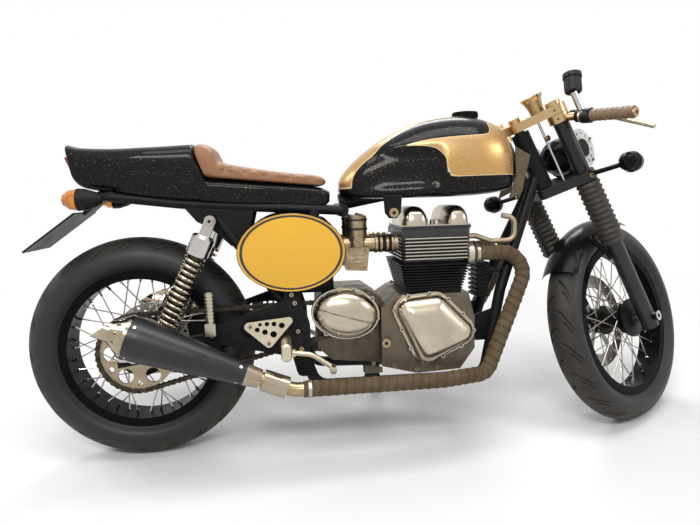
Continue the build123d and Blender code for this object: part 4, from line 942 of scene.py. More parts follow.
# %% Plate enamel
YELLOW, DEEP_YELLOW = (0.70, 0.365, 0.011), (0.76, 0.41, 0.014)
PLATE_BANDS = (
    # from share, to share, colour
    (0.896, 0.948, (0.006, 0.006, 0.006)),
    (0.984, 1.2, (0.010, 0.009, 0.008)),
)
BAND_SOFT = 0.003
plate_paint, tree, shader = start_material("plate_enamel")
out = vertex_mark(tree, "oval_share")
colour = mix_colour(tree, noise(tree, object_place(tree), 18.0), YELLOW, DEEP_YELLOW)
for start, end, shade in PLATE_BANDS:
    band = math_node(tree, "MULTIPLY", ramp(tree, out, start - BAND_SOFT, start + BAND_SOFT),
                     ramp(tree, out, end + BAND_SOFT, end - BAND_SOFT))
    colour = mix_colour(tree, band, colour, shade)
patch, grain = grain_marks(tree, 60, 4)
dress(tree, shader, colour=colour, rough=ramp(tree, patch, 0.0, 1.0, 0.14, 0.3), coat=0.6)
bump(tree, shader, grain, 0.06)
print("plate bands", len(PLATE_BANDS))

# %% Side plates
PLATE_CENTRE = Vector((-307, 0, 592))
PLATE_X, PLATE_Z, PLATE_Y = 147, 107, 154
PLATE_STEPS = (
    # share of the oval, height
    (1.0, -4), (1.0, 0), (0.992, 2.2), (0.976, 2.6), (0.968, 1.2), (0.9, 2.2), (0.6, 4.6), (0.3, 6.0),
    (0.04, 6.5),
)
BACK_SHARE = 1.1
parts = []
for side in SIDES:
    parts.append(skin([[PLATE_CENTRE + round_xz(2 * math.pi * n / 120, PLATE_X * share,
                                                side * (PLATE_Y + rise), PLATE_Z * share)
                        for n in range(120)] for share, rise in PLATE_STEPS]))
    for x in (-352, -216):
        post = [Vector((x, side * y, 600)) for y in (80.3, PLATE_Y)]
        parts.append(skin(sweep_rings(post, 7, 16)))
plates = make_piece("side_plates", joined(parts), "chassis", plate_paint, ("number_plates",),
                    40)
x, y, z = upright_points(plates, "chassis").T
share = np.hypot((x - PLATE_CENTRE.x) / PLATE_X, (z - PLATE_CENTRE.z) / PLATE_Z)
mark(plates, "oval_share", np.where(np.abs(y) < PLATE_Y - 1, BACK_SHARE, share))

# %% [markdown]
# Seat
#
# The seat is tan leather over foam, with a roll at its back that holds the rider. Its top and its sides are
# quilted: straight seams cross in diamonds and pull the leather in, and the foam swells between them. A cloth
# simulation does just that. The seams are pulled in and pinned, as are the roll and the lower edge, a little
# air pressure blows the leather up between them, and the result is kept as a plain mesh.

# %% Leather
HIDE, PALE_HIDE, PORE = (0.235, 0.108, 0.053), (0.275, 0.135, 0.071), (0.14, 0.063, 0.031)
finish["tan_leather"], tree, shader = start_material("tan_leather")
cells = tree.nodes.new("ShaderNodeTexVoronoi")
feed(tree, cells.inputs["Scale"], 620)
feed(tree, cells.inputs["Vector"], object_place(tree))
pores = cells.outputs["Distance"]
patch, grain = grain_marks(tree, 50, 1.8)
hide = mix_colour(tree, patch, HIDE, PALE_HIDE)
hide = mix_colour(tree, ramp(tree, pores, 0.0, 0.5, 0.35, 0.0), hide, PORE)
dress(tree, shader, colour=hide, rough=ramp(tree, grain, 0.2, 0.8, 0.38, 0.54), shine=0.28)
bump(tree, shader, math_node(tree, "ADD", pores, grain), 0.22)
print("leather ready")

# %% Seat cushion
SEAT_ROWS = (
    # low x, low z, high x, high z, half width
    (-206, 774, -200, 783, 62),
    (-216, 771, -207, 793, 74),
    (-240, 772, -230, 802, 82),
    (-300, 778, -299, 810, 92),
    (-370, 785, -370, 820, 101),
    (-440, 792, -440, 832, 107),
    (-482, 796, -481, 841, 109),
    (-498, 797.6, -496, 847, 110),
    (-506, 798.4, -503, 862, 110),
    (-512, 799, -511, 880, 111),
    (-519, 799.8, -526, 891, 111),
    (-525, 800.4, -543, 895, 111),
    (-529, 801, -556, 893, 110),
    (-531, 802, -562, 884, 109),
)
SEAM_PITCH, SEAM_DEPTH, SEAM_SPREAD, SEAM_HELD = 50, 4.5, 5, 3.2
QUILT_BACK, QUILT_FRONT, QUILT_LIFT = -488, -222, 11
PRESSURE, CLOTH_FRAMES, MOST_SWELL = 9, 14, 0.006
seat_rings = section_rows(SEAT_ROWS, 10, 0.45, 3.4, 9, 168)
seat = make_piece("seat_cushion", skin(seat_rings), "chassis", finish["tan_leather"],
                  ("seat_pad",))
row_x, row_low, row_high = ([row[column] for row in reversed(SEAT_ROWS)] for column in (2, 1, 3))


def seam_gap(x, across):
    """Distance in millimetres to the nearest diamond seam."""
    gaps = [np.abs(run - np.round(run)) for run in ((x + across) / SEAM_PITCH, (x - across) / SEAM_PITCH)]
    return np.minimum(*gaps) * SEAM_PITCH / math.sqrt(2)


def quilted(x, z):
    """True on the quilted leather, ahead of the roll and above the lower edge."""
    return (x > QUILT_BACK) & (x < QUILT_FRONT) & (z > np.interp(x, row_x, row_low) + QUILT_LIFT)


def skin_across(x, y, z):
    """Distance over the seat's skin from its middle line, down the sides too."""
    return np.sign(y) * (np.abs(y) + np.maximum(np.interp(x, row_x, row_high) - z, 0))


def blow_up(piece, held, pressure, frames, most):
    """Cloth simulation with held vertices pinned; no vertex moves further than most."""
    group = piece.vertex_groups.new(name="held")
    group.add([int(index) for index in np.nonzero(held)[0]], 1.0, "REPLACE")
    before = [v.co.copy() for v in piece.data.vertices]
    cloth = piece.modifiers.new("foam", "CLOTH")
    cloth.settings.quality = 5
    cloth.settings.use_pressure = True
    cloth.settings.uniform_pressure_force = pressure
    cloth.settings.vertex_group_mass = "held"
    cloth.settings.tension_stiffness = 12
    cloth.settings.bending_stiffness = 0.4
    cloth.settings.effector_weights.gravity = 0
    cloth.point_cache.frame_end = frames
    for frame_number in range(1, frames + 1):
        scene.frame_set(frame_number)
    shaped = bpy.data.meshes.new_from_object(piece.evaluated_get(bpy.context.evaluated_depsgraph_get()))
    after = [v.co.copy() for v in shaped.vertices]
    piece.modifiers.remove(cloth)
    piece.vertex_groups.remove(group)
    scene.frame_set(1)
    furthest = 0
    for vertex, old, new in zip(piece.data.vertices, before, after):
        move = new - old
        vertex.co = old + move * min(1, most / max(move.length, 1e-9))
        furthest = max(furthest, move.length)
    piece.data.update()
    print("cushion moved up to", round(furthest / MM, 1), "mm, capped at", most / MM)


x, y, z = upright_points(seat, "chassis").T
soft = quilted(x, z)
gap = seam_gap(x, skin_across(x, y, z))
pull = SEAM_DEPTH * MM * np.exp(-(gap / SEAM_SPREAD) ** 2) * soft
outward = [vertex.normal.copy() for vertex in seat.data.vertices]
for vertex, normal, depth in zip(seat.data.vertices, outward, pull):
    vertex.co -= normal * float(depth)
blow_up(seat, ~soft | (gap < SEAM_HELD), PRESSURE, CLOTH_FRAMES, MOST_SWELL)

# %% [markdown]
# Small repeated things
#
# Stitches, screws, spoke nipples and chain links repeat, so Geometry Nodes place them. A mesh that is only
# points says where, and an attribute on each point says which way it faces. The tree puts one small shape on
# each point, and its result is kept as a plain mesh.

# %% Geometry Nodes: helpers


def new_tree(name, inputs):
    """Geometry Nodes tree with a geometry input and output and other named inputs."""
    geometry = ("Geometry", "Geometry")
    return new_group(name, "GeometryNodeTree", (geometry, *inputs), (geometry,))


def node_out(tree, kind, output, **values):
    """Adds a node, feeds its inputs by name and gives one output; an underscore stands for a space."""
    made = tree.nodes.new(kind)
    for label, value in values.items():
        feed(tree, made.inputs[label.replace("_", " ")], value)
    return made.outputs[output]


def xyz(tree, x, y, z):
    """Vector from three sockets or numbers."""
    return node_out(tree, "ShaderNodeCombineXYZ", "Vector", X=x, Y=y, Z=z)


def shifted(tree, geometry, x, z):
    """Geometry moved along X and Z."""
    return node_out(tree, "GeometryNodeTransform", "Geometry", Geometry=geometry,
                    Translation=xyz(tree, x, 0.0, z))


def drum(tree, radius, depth, lift, corners):
    """Upright cylinder with its middle at a height; gives its mesh socket."""
    made = node_out(tree, "GeometryNodeMeshCylinder", "Mesh", Vertices=corners, Radius=radius, Depth=depth)
    return shifted(tree, made, 0.0, lift)


def merged(tree, *parts):
    """Several geometries as one."""
    made = tree.nodes.new("GeometryNodeJoinGeometry")
    for part in parts:
        tree.links.new(part, made.inputs["Geometry"])
    return made.outputs["Geometry"]


def point_value(tree, label, kind):
    """Socket of a named attribute."""
    made = tree.nodes.new("GeometryNodeInputNamedAttribute")
    made.data_type = kind
    made.inputs["Name"].default_value = label
    return made.outputs["Attribute"]


def tagged(tree, geometry, label):
    """Geometry whose faces all have a true attribute."""
    made = tree.nodes.new("GeometryNodeStoreNamedAttribute")
    made.data_type = "BOOLEAN"
    made.domain = "FACE"
    for slot, value in (("Name", label), ("Value", True), ("Geometry", geometry)):
        feed(tree, made.inputs[slot], value)
    return made.outputs["Geometry"]


def copies(tree, points, shape, only=None):
    """A shape on each point, or on those that an attribute picks: Z to the attribute aim, X to along."""
    turned = None
    for axis, label in (("Z", "aim"), ("X", "along")):
        align = tree.nodes.new("FunctionNodeAlignRotationToVector")
        align.axis = axis
        align.pivot_axis = "AUTO" if turned is None else "Z"
        tree.links.new(point_value(tree, label, "FLOAT_VECTOR"), align.inputs["Vector"])
        if turned is not None:
            tree.links.new(turned, align.inputs["Rotation"])
        turned = align.outputs["Rotation"]
    values = {"Points": points, "Instance": shape, "Rotation": turned}
    if only:
        values["Selection"] = point_value(tree, only, "BOOLEAN")
    return node_out(tree, "GeometryNodeInstanceOnPoints", "Instances", **values)


def hand_over(tree, instances, end, material, dark=None):
    """Makes the copies real and gives them their material, and what is tagged dark another one."""
    geometry = node_out(tree, "GeometryNodeRealizeInstances", "Geometry", Geometry=instances)
    geometry = node_out(tree, "GeometryNodeSetMaterial", "Geometry", Geometry=geometry, Material=material)
    if dark:
        geometry = node_out(tree, "GeometryNodeSetMaterial", "Geometry", Geometry=geometry, Material=dark,
                            Selection=point_value(tree, "dark", "BOOLEAN"))
    tree.links.new(geometry, end["Geometry"])


# %% Geometry Nodes: pegs, screws and pips
PEGS, peg_in, peg_out = new_tree("pegs", (
    ("Radius", "Float"), ("Length", "Float"), ("Corners", "Int"), ("Material", "Material")))
length = peg_in["Length"]
peg = drum(PEGS, peg_in["Radius"], length, math_node(PEGS, "MULTIPLY", length, 0.5), peg_in["Corners"])
hand_over(PEGS, copies(PEGS, peg_in["Geometry"], peg), peg_out, peg_in["Material"])

SCREWS, screw_in, screw_out = new_tree("cap screws", (
    ("Radius", "Float"), ("Height", "Float"), ("Material", "Material"), ("Socket shade", "Material")))
SCREW_STEPS = (
    # share of the radius, share of the height, middle's height, corners, dark (painted shade in the socket)
    (1.00, 0.86, 0.43, 24, False),
    (0.86, 0.30, 0.85, 24, False),
    # the small dark hexagon on top is painted shade in the screw's socket
    (0.46, 0.10, 0.98, 6, True),
)
steps = []
for *shares, corners, dark in SCREW_STEPS:
    sizes = [math_node(SCREWS, "MULTIPLY", screw_in[label], share)
             for label, share in zip(("Radius", "Height", "Height"), shares)]
    step = drum(SCREWS, *sizes, corners)
    steps.append(tagged(SCREWS, step, "dark") if dark else step)
hand_over(SCREWS, copies(SCREWS, screw_in["Geometry"], merged(SCREWS, *steps)), screw_out,
          screw_in["Material"], screw_in["Socket shade"])

PIPS, pip_in, pip_out = new_tree("pips", (
    ("Length", "Float"), ("Width", "Float"), ("Height", "Float"), ("Material", "Material")))
ball = node_out(PIPS, "GeometryNodeMeshUVSphere", "Mesh", Segments=20, Rings=10, Radius=0.5)
squeezed = node_out(PIPS, "GeometryNodeTransform", "Geometry", Geometry=ball,
                    Scale=xyz(PIPS, *(pip_in[label] for label in ("Length", "Width", "Height"))))
hand_over(PIPS, copies(PIPS, pip_in["Geometry"], squeezed), pip_out, pip_in["Material"])
print("trees", PEGS.name, SCREWS.name, PIPS.name)

# %% Running a tree
GROWN_CREASE = 40


def grow(name, tree, points, aims, body, values, alongs=None, picks=None, replaces=()):
    """Runs a tree on points with their two directions, in upright millimetres, and keeps the mesh."""
    seeds = bpy.data.meshes.new(name + "_points")
    seeds.from_pydata([PLACES[body] @ Vector(p) for p in points], [], [])
    turn_only = PLACES[body].to_3x3().normalized()
    aims = [Vector(aim).normalized() for aim in aims]
    alongs = alongs or [aim.orthogonal() for aim in aims]
    for label, directions in (("aim", aims), ("along", alongs)):
        attribute = seeds.attributes.new(label, "FLOAT_VECTOR", "POINT")
        for item, direction in zip(attribute.data, directions):
            item.vector = turn_only @ Vector(direction)
    for label, flags in (picks or {}).items():
        attribute = seeds.attributes.new(label, "BOOLEAN", "POINT")
        for item, flag in zip(attribute.data, flags):
            item.value = flag
    holder = bpy.data.objects.new(name, seeds)
    scene.collection.objects.link(holder)
    nodes_modifier = holder.modifiers.new("grow", "NODES")
    nodes_modifier.node_group = tree
    for socket in tree.interface.items_tree:
        if socket.in_out == "INPUT" and socket.name in values:
            nodes_modifier[socket.identifier] = values[socket.name]
    bpy.context.view_layer.update()
    grown = bpy.data.meshes.new_from_object(holder.evaluated_get(bpy.context.evaluated_depsgraph_get()))
    grown.name = name
    holder.modifiers.remove(nodes_modifier)
    holder.data = grown
    grown.polygons.foreach_set("use_smooth", [True] * len(grown.polygons))
    grown.set_sharp_from_angle(angle=math.radians(GROWN_CREASE))
    hand_in(holder, body, replaces)
    print(name, len(points), "copies,", len(grown.polygons), "faces")


def screws(name, points, aims, body, radius, height, metal="brushed_steel"):
    """Cap screws in millimetres, with painted shade in their sockets."""
    grow(name, SCREWS, points, aims, body,
         {"Radius": radius * MM, "Height": height * MM, "Material": finish[metal],
          "Socket shade": finish["black_plastic"]})


def pegs(name, points, aims, body, radius, length, look, corners=24):
    """Plain round pegs in millimetres."""
    grow(name, PEGS, points, aims, body, {"Radius": radius * MM, "Length": length * MM, "Corners": corners,
                                          "Material": finish[look]})


def pips(name, points, aims, alongs, body, sizes, look):
    """Flat rounded pips in millimetres, longest along their second direction."""
    long, wide, high = (value * MM for value in sizes)
    grow(name, PIPS, points, aims, body,
         {"Length": long, "Width": wide, "Height": high, "Material": finish[look]}, alongs)


# %% Stitches in the quilted seams
STITCH_STEP, STITCH_LIFT, TURN_DOWN = 6.5, 0.3, 24
seat_skin = BVHTree.FromObject(seat, bpy.context.evaluated_depsgraph_get())


def over_skin(point, high):
    """Distance of a section's point from the middle line, over the top and down the side."""
    return math.copysign(abs(point.y) + high - point.z, point.y)


sections = []
for ring in seat_rings:
    x, high = ring[len(ring) // 4].x, max(point.z for point in ring)
    upper = [point for point in ring if quilted(np.float64(x), np.float64(point.z))]
    upper.sort(key=lambda point: over_skin(point, high))
    sections.append((x, high, upper))
stitch_points, stitch_aims = [], []
for lean_way in (1, -1):
    for number in range(-16, 7):
        for step in range(-36, 37):
            over = step * STITCH_STEP / math.sqrt(2)
            x = number * SEAM_PITCH - lean_way * over
            _, high, upper = min(sections, key=lambda section: abs(section[0] - x))
            reach = [over_skin(point, high) for point in upper]
            if not upper or not QUILT_BACK < x < QUILT_FRONT or not reach[0] < over < reach[-1]:
                continue
            y, z = (np.interp(over, reach, [p[axis] for p in upper]) for axis in (1, 2))
            hit = seat_skin.find_nearest(PARKED @ Vector((x, y, z)))
            steep = min(1.0, max(0.0, (high - z) / TURN_DOWN))
            normal = PARKED.to_3x3().normalized().transposed() @ hit[1]
            stitch_points.append(PARKED.inverted() @ hit[0] + normal * STITCH_LIFT)
            stitch_aims.append((-lean_way, 1 - steep, -steep * math.copysign(1, y)))
pegs("seat_stitches", stitch_points, stitch_aims, "chassis", 0.6, 4.6, "thread", 6)

# %% [markdown]
# Tyres
#
# A road tyre is a round crown between two plain sidewalls. Curved grooves sweep from near the middle out to
# the shoulder, first on one side and then on the other, so water has a way out. The grooves are cut into the
# mesh with a formula: how far a point is from the nearest groove's middle line decides how deep it lies.

# %% Tyre rubber
TREAD, PALE_TREAD, ROAD_DUST = (0.016, 0.0145, 0.0135), (0.026, 0.023, 0.020), (0.080, 0.060, 0.040)
SIDEWALL, GROOVE_SHADE = (0.017, 0.0175, 0.0195), (0.003, 0.0028, 0.0025)
finish["tyre_rubber"], tree, shader = start_material("tyre_rubber")
patch, grain = grain_marks(tree, 70, 1.4)
wall = vertex_mark(tree, "wall")
rubber = mix_colour(tree, patch, TREAD, PALE_TREAD)
rubber = mix_colour(tree, settled_dust(tree, 0.75, 0.55), rubber, ROAD_DUST)
rubber = mix_colour(tree, math_node(tree, "MULTIPLY", wall, 0.75), rubber, SIDEWALL)
# painted shade in the tread grooves: the rubber darkens by how deep a point lies in a groove
rubber = mix_colour(tree, vertex_mark(tree, "groove"), rubber, GROOVE_SHADE)
roughness = math_node(tree, "SUBTRACT", ramp(tree, grain, 0.2, 0.8, 0.50, 0.68),
                      math_node(tree, "MULTIPLY", wall, 0.14))
dress(tree, shader, colour=rubber, rough=roughness, shine=0.3)
bump(tree, shader, grain, 0.18)
print("rubber ready")

# %% Tyres
TYRES = (
    # name, body, axle, crown centre radius, crown radius, bead half width, bead radius, seat radius
    ("rear", "rear_wheel", REAR_AXLE, 255, 65, 45.7, 230, 216.3),
    ("front", "front_wheel", FRONT_AXLE, 266, 52, 32.7, 242, 228.9),
)
GROOVES = (
    # start as a share of the pitch, last crown angle, sweep as a share of the pitch, first crown angle
    (0.0, 56, 0.62, 6),
    (0.36, 50, 0.40, 24),
)
GROOVE_PAIRS, GROOVE_HALF, GROOVE_DEPTH, GROOVE_LIMIT = 21, 3.9, 4.0, 60
LIP, ROUND = 1.2, 840
NO_CROWN = 999


def groove_share(turn_angle, crown_angle, tyre_radius):
    """1 in the middle of a groove, 0 outside it."""
    across = abs(crown_angle)
    side_shift = 0.5 if crown_angle > 0 else 0.0
    share = 0
    for start, reach, sweep, first in GROOVES:
        if not first - 2 < across < reach + 2:
            continue
        middle = start + side_shift + sweep * ((across - first) / (reach - first)) ** 1.6
        away = (turn_angle * GROOVE_PAIRS / (2 * math.pi) - middle + 0.5) % 1.0 - 0.5
        gap = abs(away) * 2 * math.pi / GROOVE_PAIRS * tyre_radius
        fade = min(1, (across - first + 2) / 4, (reach + 2 - across) / 6)
        share = max(share, fade * (1 - float(step_between(GROOVE_HALF - 1.3, GROOVE_HALF + 0.4, gap))))
    return share


for name, body, axle, core, crown_r, bead_half, bead_r, seat_r in TYRES:
    lip = bead_half + LIP
    half = [(seat_r, bead_half, NO_CROWN), (bead_r - 4, bead_half, NO_CROWN), (bead_r, lip, NO_CROWN)]
    for share in (0.2, 0.4, 0.6, 0.8):
        half.append((bead_r + (core - bead_r) * share, lip + (crown_r - lip) * math.sin(share * math.pi / 2),
                     NO_CROWN))
    for degrees in range(90, -1, -3):
        angle = math.radians(degrees)
        half.append((core + crown_r * math.cos(angle), crown_r * math.sin(angle), degrees))
    profile = half + [(r, -y, -a) for r, y, a in reversed(half[:-1])]
    rings = []
    for spot in range(ROUND):
        angle = 2 * math.pi * spot / ROUND
        ring = []
        for r, y, crown_angle in profile:
            if abs(crown_angle) < GROOVE_LIMIT:
                sink = GROOVE_DEPTH * groove_share(angle, crown_angle, core + crown_r)
                r -= sink * math.cos(math.radians(crown_angle))
                y -= sink * math.sin(math.radians(crown_angle))
            ring.append(axle + round_xz(angle, r, y))
        rings.append(ring)
    tyre = make_piece(name + "_tyre_tread", skin(rings + rings[:1], capped=False), body,
                      finish["tyre_rubber"], (name + "_tyre",))
    x, y, z = (upright_points(tyre, body) - np.array(axle)).T
    flat = np.hypot(x, z)
    sunk = core + crown_r * np.sqrt(np.clip(1 - (y / crown_r) ** 2, 0, 1)) - flat
    # how deep each point lies in a groove, which the rubber turns into painted shade
    mark(tyre, "groove", np.where(flat > core, np.clip(sunk / GROOVE_DEPTH, 0, 1), 0))
    mark(tyre, "wall", 1 - step_between(core + 0.38 * crown_r, core + 0.56 * crown_r, flat))

# %% [markdown]
# Exhaust wrap
#
# The header pipes are bound in a woven heat wrap, wound in a spiral with each turn over the last. Seen along
# the pipe that is a saw edge: the wrap climbs a little over its own width and drops back. The skin of the
# pipe is swept with that saw edge turned into a spiral, and the end of each turn is marked, so that the
# material can paint shade where the turn drops back onto the next. A steel band holds each end, and bare
# pipe shows behind the wrap.

# %% Wrap material
CLOTH, PALE_CLOTH = (0.092, 0.060, 0.031), (0.135, 0.097, 0.057)
WEAVE_DARK, LAP_SHADE = (0.052, 0.033, 0.016), (0.040, 0.026, 0.013)
finish["header_wrap"], tree, shader = start_material("header_wrap")
weave = math_node(tree, "MULTIPLY", waves(tree, "X", 190), waves(tree, "Z", 190))
patch, grain = grain_marks(tree, 35, 1.1)
cloth = mix_colour(tree, patch, CLOTH, PALE_CLOTH)
cloth = mix_colour(tree, math_node(tree, "MULTIPLY", weave, 0.4), cloth, WEAVE_DARK)
# painted shade along the edge where each turn of tape drops back onto the next
cloth = mix_colour(tree, math_node(tree, "MULTIPLY", vertex_mark(tree, "lap_shade"), 0.6), cloth, LAP_SHADE)
dress(tree, shader, colour=cloth, rough=ramp(tree, grain, 0.2, 0.8, 0.72, 0.92), shine=0.2)
bump(tree, shader, math_node(tree, "ADD", weave, grain), 0.4)
print("wrap ready")

# %% Wrapped headers
PORT_Y, PORT_Z, PIPE_R = 85, 563, 21
SILENCER_START, SILENCER_Y = Vector((-400, 0, 268)), 225
SILENCER_RISE = math.radians(22)
SILENCER_DIR = Vector((-math.cos(SILENCER_RISE), 0, math.sin(SILENCER_RISE)))
WRAP_TURN, WRAP_LIFT, WRAP_ROUND = 23, 2.2, 44
BARE_END, SWEEP_STEP = 116, 2.6


def wound(turn_length, inner, lift):
    """Radius of a tape wound in a spiral, from the distance along and the angle."""
    def radius_at(along, angle):
        share = (along / turn_length + angle / (2 * math.pi)) % 1.0
        return inner + lift * min(share / 0.93, (1 - share) / 0.07)
    return radius_at


pipes, bare, clamp_points, clamp_aims = [], [], [], []
for side in SIDES:
    start = SILENCER_START + Vector((0, side * SILENCER_Y, 0))
    route = [(219, side * PORT_Y, PORT_Z), (402, side * PORT_Y, PORT_Z), (236, side * 158, 224),
             (100, side * 200, 226), start - SILENCER_DIR * 92, start + SILENCER_DIR * 3]
    pipe_path = bent_path(route, (60, 44, 60, 90), SWEEP_STEP)
    bare_from = len(pipe_path) - round(BARE_END / SWEEP_STEP)
    tape = wound(WRAP_TURN, PIPE_R - 0.6, WRAP_LIFT)
    pipes.append(skin(sweep_rings(pipe_path[:bare_from], tape, WRAP_ROUND)))
    bare.append(skin(sweep_rings(pipe_path[bare_from - 2:], PIPE_R - 2, 36)))
    for spot in (bare_from - 9, 4):
        clamp_points.append(pipe_path[spot])
        clamp_aims.append(pipe_path[spot + 1] - pipe_path[spot])
wrap = make_piece("header_wrap", joined(pipes), "chassis", finish["header_wrap"],
                  ("header_pipes",))
# share of painted shade at the end of each turn, where it drops back onto the next
lap_shade_share = []
for verts, _ in pipes:
    for number in range(len(verts)):
        row, spot = divmod(number, WRAP_ROUND)
        share = (row * SWEEP_STEP / WRAP_TURN + spot / WRAP_ROUND) % 1.0
        lap_shade_share.append(float(step_between(0.84, 0.95, share)))
mark(wrap, "lap_shade", lap_shade_share)
make_piece("bare_headers", joined(bare), "chassis", finish["warm_steel"], (), 40)
pegs("header_clamps", clamp_points, clamp_aims, "chassis", PIPE_R + 3.2, 9, "brushed_steel", 48)

# %% [markdown]
# Engine castings
#
# The side covers are polished castings: a flat flange, a steep shoulder and a domed face. Each ring of the
# mesh is the cover's outline set in by some millimetres, at the height that the casting has there. The oval
# cover over the drive sprocket has a crease across it. Cap screws hold both covers at their flanges. Two
# rounded rocker boxes lie across the head, with a row of nuts between them.

# %% Side covers
CASE_HALF, FLANGE = 120.3, 10
COVER_CIRCLES = ((18, 412, 46), (92, 412, 52), (164, 346, 46), (70, 298, 46))
COVER_STEPS = (
    # set in, height above the case
    (0, 0), (0, FLANGE), (1.4, 12.2), (7.4, 13), (8.8, 15), (9.2, 20), (10.2, 26), (12.4, 32), (16, 38),
    (21, 43.6), (27, 48.6), (34, 53), (43, 57.2),
)
CROWN_STEPS = (
    # share of the last outline, height above the case
    (0.8, 60.4), (0.6, 63), (0.4, 64.9), (0.2, 65.9), (0.02, 66.2),
)
HULL_STEPS = 1440


def hull_ring(circles, inset, count):
    """Evenly spaced outline round circles (x, z, radius), set in by some millimetres."""
    dense = []
    for step in range(HULL_STEPS):
        angle = 2 * math.pi * step / HULL_STEPS
        out = Vector((math.cos(angle), math.sin(angle)))
        x, z, r = max(circles, key=lambda c: c[0] * out.x + c[1] * out.y + c[2])
        dense.append(Vector((x, z)) + out * (r - inset))
    return evenly(dense, count)


castings = []
for side in SIDES:
    rings = []
    for inset, height in COVER_STEPS:
        outline = hull_ring(COVER_CIRCLES, inset, 168)
        rings.append([Vector((x, side * (CASE_HALF + height), z)) for x, z in outline])
    middle = sum(outline, Vector((0, 0))) / len(outline)
    for share, height in CROWN_STEPS:
        crown = [middle + (spot - middle) * share for spot in outline]
        rings.append([Vector((x, side * (CASE_HALF + height), z)) for x, z in crown])
    castings.append(skin(rings))

# %% Oval cover and the screws
OVAL, OVAL_X, OVAL_Z, OVAL_BASE = Vector((-161, 0, 408)), 98, 74, 98.3
OVAL_TILT = math.radians(-8)
OVAL_STEPS = (
    # share of the oval, height
    (1, 0), (1, 12), (0.99, 14.5), (0.945, 15), (0.93, 18), (0.92, 26), (0.895, 34), (0.855, 41), (0.8, 46.6),
    (0.73, 51.4), (0.64, 55.4), (0.53, 58.8), (0.4, 61.4), (0.26, 63), (0.12, 63.6), (0.02, 63.7),
)
CREASE_DEPTH = 4.5
tilt = Matrix.Rotation(-OVAL_TILT, 3, "Y")
rings = []
for share, height in OVAL_STEPS:
    ring = []
    for step in range(150):
        spot = round_xz(2 * math.pi * step / 150, OVAL_X * share, 0.0, OVAL_Z * share)
        crease = step_between(4, -6, spot.z + 0.16 * spot.x) * step_between(0.95, 0.85, share) * CREASE_DEPTH
        spot.y = -OVAL_BASE - height + float(crease)
        ring.append(OVAL + tilt @ spot)
    rings.append(ring)
castings.append(skin(rings))
make_piece("polished_covers", joined(castings), "chassis", finish["polished_alloy"],
           ("engine_covers",), 38)

spots = [Vector((x, side * (CASE_HALF + FLANGE), z)) for side in SIDES
         for x, z in hull_ring(COVER_CIRCLES, 4, 11)]
spots += [OVAL + round_xz(math.radians(degrees), 94, -108, 70) for degrees in (35, 75, 128, 232, 292, 345)]
screws("cover_screws", spots, outwards(spots), "chassis", 6.4, 7)

# %% Rocker domes
COVER_Z, DOME_H, DOME_Y, DOME_ROUND = 640, 59, 110, 50
DOMES = (
    # middle x, half width
    (50, 41),
    (173, 37),
)
DOME_SHARES = (0, 0.16, 0.3, 0.42, 0.53, 0.63, 0.72, 0.8, 0.87, 0.925, 0.965, 0.988, 0.998)
domes = [skin([[Vector((108 + 100 * dx, 108 * dy, z)) for dx, dy in FLOOR_CORNERS]
               for z in (COVER_Z + 0.3, COVER_Z + 12)])]
for middle, half in DOMES:
    rings = []
    for share in DOME_SHARES:
        shrink = (1 - share ** 2.5) ** 0.4
        half_y = DOME_Y - DOME_ROUND * (1 - shrink)
        ring = []
        for step in range(96):
            angle = 2 * math.pi * (step + 0.5) / 96
            across, along = (math.copysign(abs(v) ** 0.5, v) for v in (math.cos(angle), math.sin(angle)))
            ring.append(Vector((middle + half * shrink * across, half_y * along,
                                COVER_Z + 6 + DOME_H * share)))
        rings.append(ring)
    domes.append(skin(rings))
make_piece("rocker_domes", joined(domes), "chassis", nodes["cam_covers"].data.materials[0],
           ("cam_covers",), 50)
nuts = [Vector((111.5, y, 652)) for y in (-88, -40, 40, 88)]
screws("rocker_nuts", nuts, [(0, 0, 1)] * len(nuts), "chassis", 7, 12, "chrome")

# %% [markdown]
# Fins
#
# The head's fins are black, with their outer edges rubbed back to bright metal; the barrels below stay plain
# black. The solids already have the fins. The material works back from the parked place to the upright
# machine and brightens what lies within a millimetre or two of the fins' outer edge.

# %% Bright fin edges
FIN_MIDDLE, FIN_X, FIN_Y = 0.101, 0.100, 0.132
EDGE_IN, EDGE_OUT = 0.0016, 0.0004
FIN_BLACK, FIN_GREY, FIN_BRIGHT = (0.013, 0.013, 0.013), (0.022, 0.021, 0.020), (0.44, 0.40, 0.34)
finish["head_fins"], tree, shader = start_material("head_fins")
x, y, _ = upright_place(tree)
from_x = math_node(tree, "ABSOLUTE", math_node(tree, "SUBTRACT", x, FIN_MIDDLE))
from_y = math_node(tree, "ABSOLUTE", y)
edge = math_node(tree, "MAXIMUM", ramp(tree, from_x, FIN_X - EDGE_IN, FIN_X - EDGE_OUT),
                 ramp(tree, from_y, FIN_Y - EDGE_IN, FIN_Y - EDGE_OUT))
patch, grain = grain_marks(tree, 30, 1.5)
dress(tree, shader, colour=mix_colour(tree, edge, mix_colour(tree, patch, FIN_BLACK, FIN_GREY), FIN_BRIGHT),
      metal=edge, rough=ramp(tree, patch, 0.0, 1.0, 0.36, 0.5))
bump(tree, shader, grain, 0.12)
paint("cylinder_head", finish["head_fins"])
print("fins brightened")

# %% [markdown]
# Suspension springs, chain and spokes
#
# The shock springs are chromed wire wound in a coil. The chain is made of pairs of plates on rollers, first
# inside and then outside, along a loop round both sprockets. Each spoke ends in a nipple in the rim.

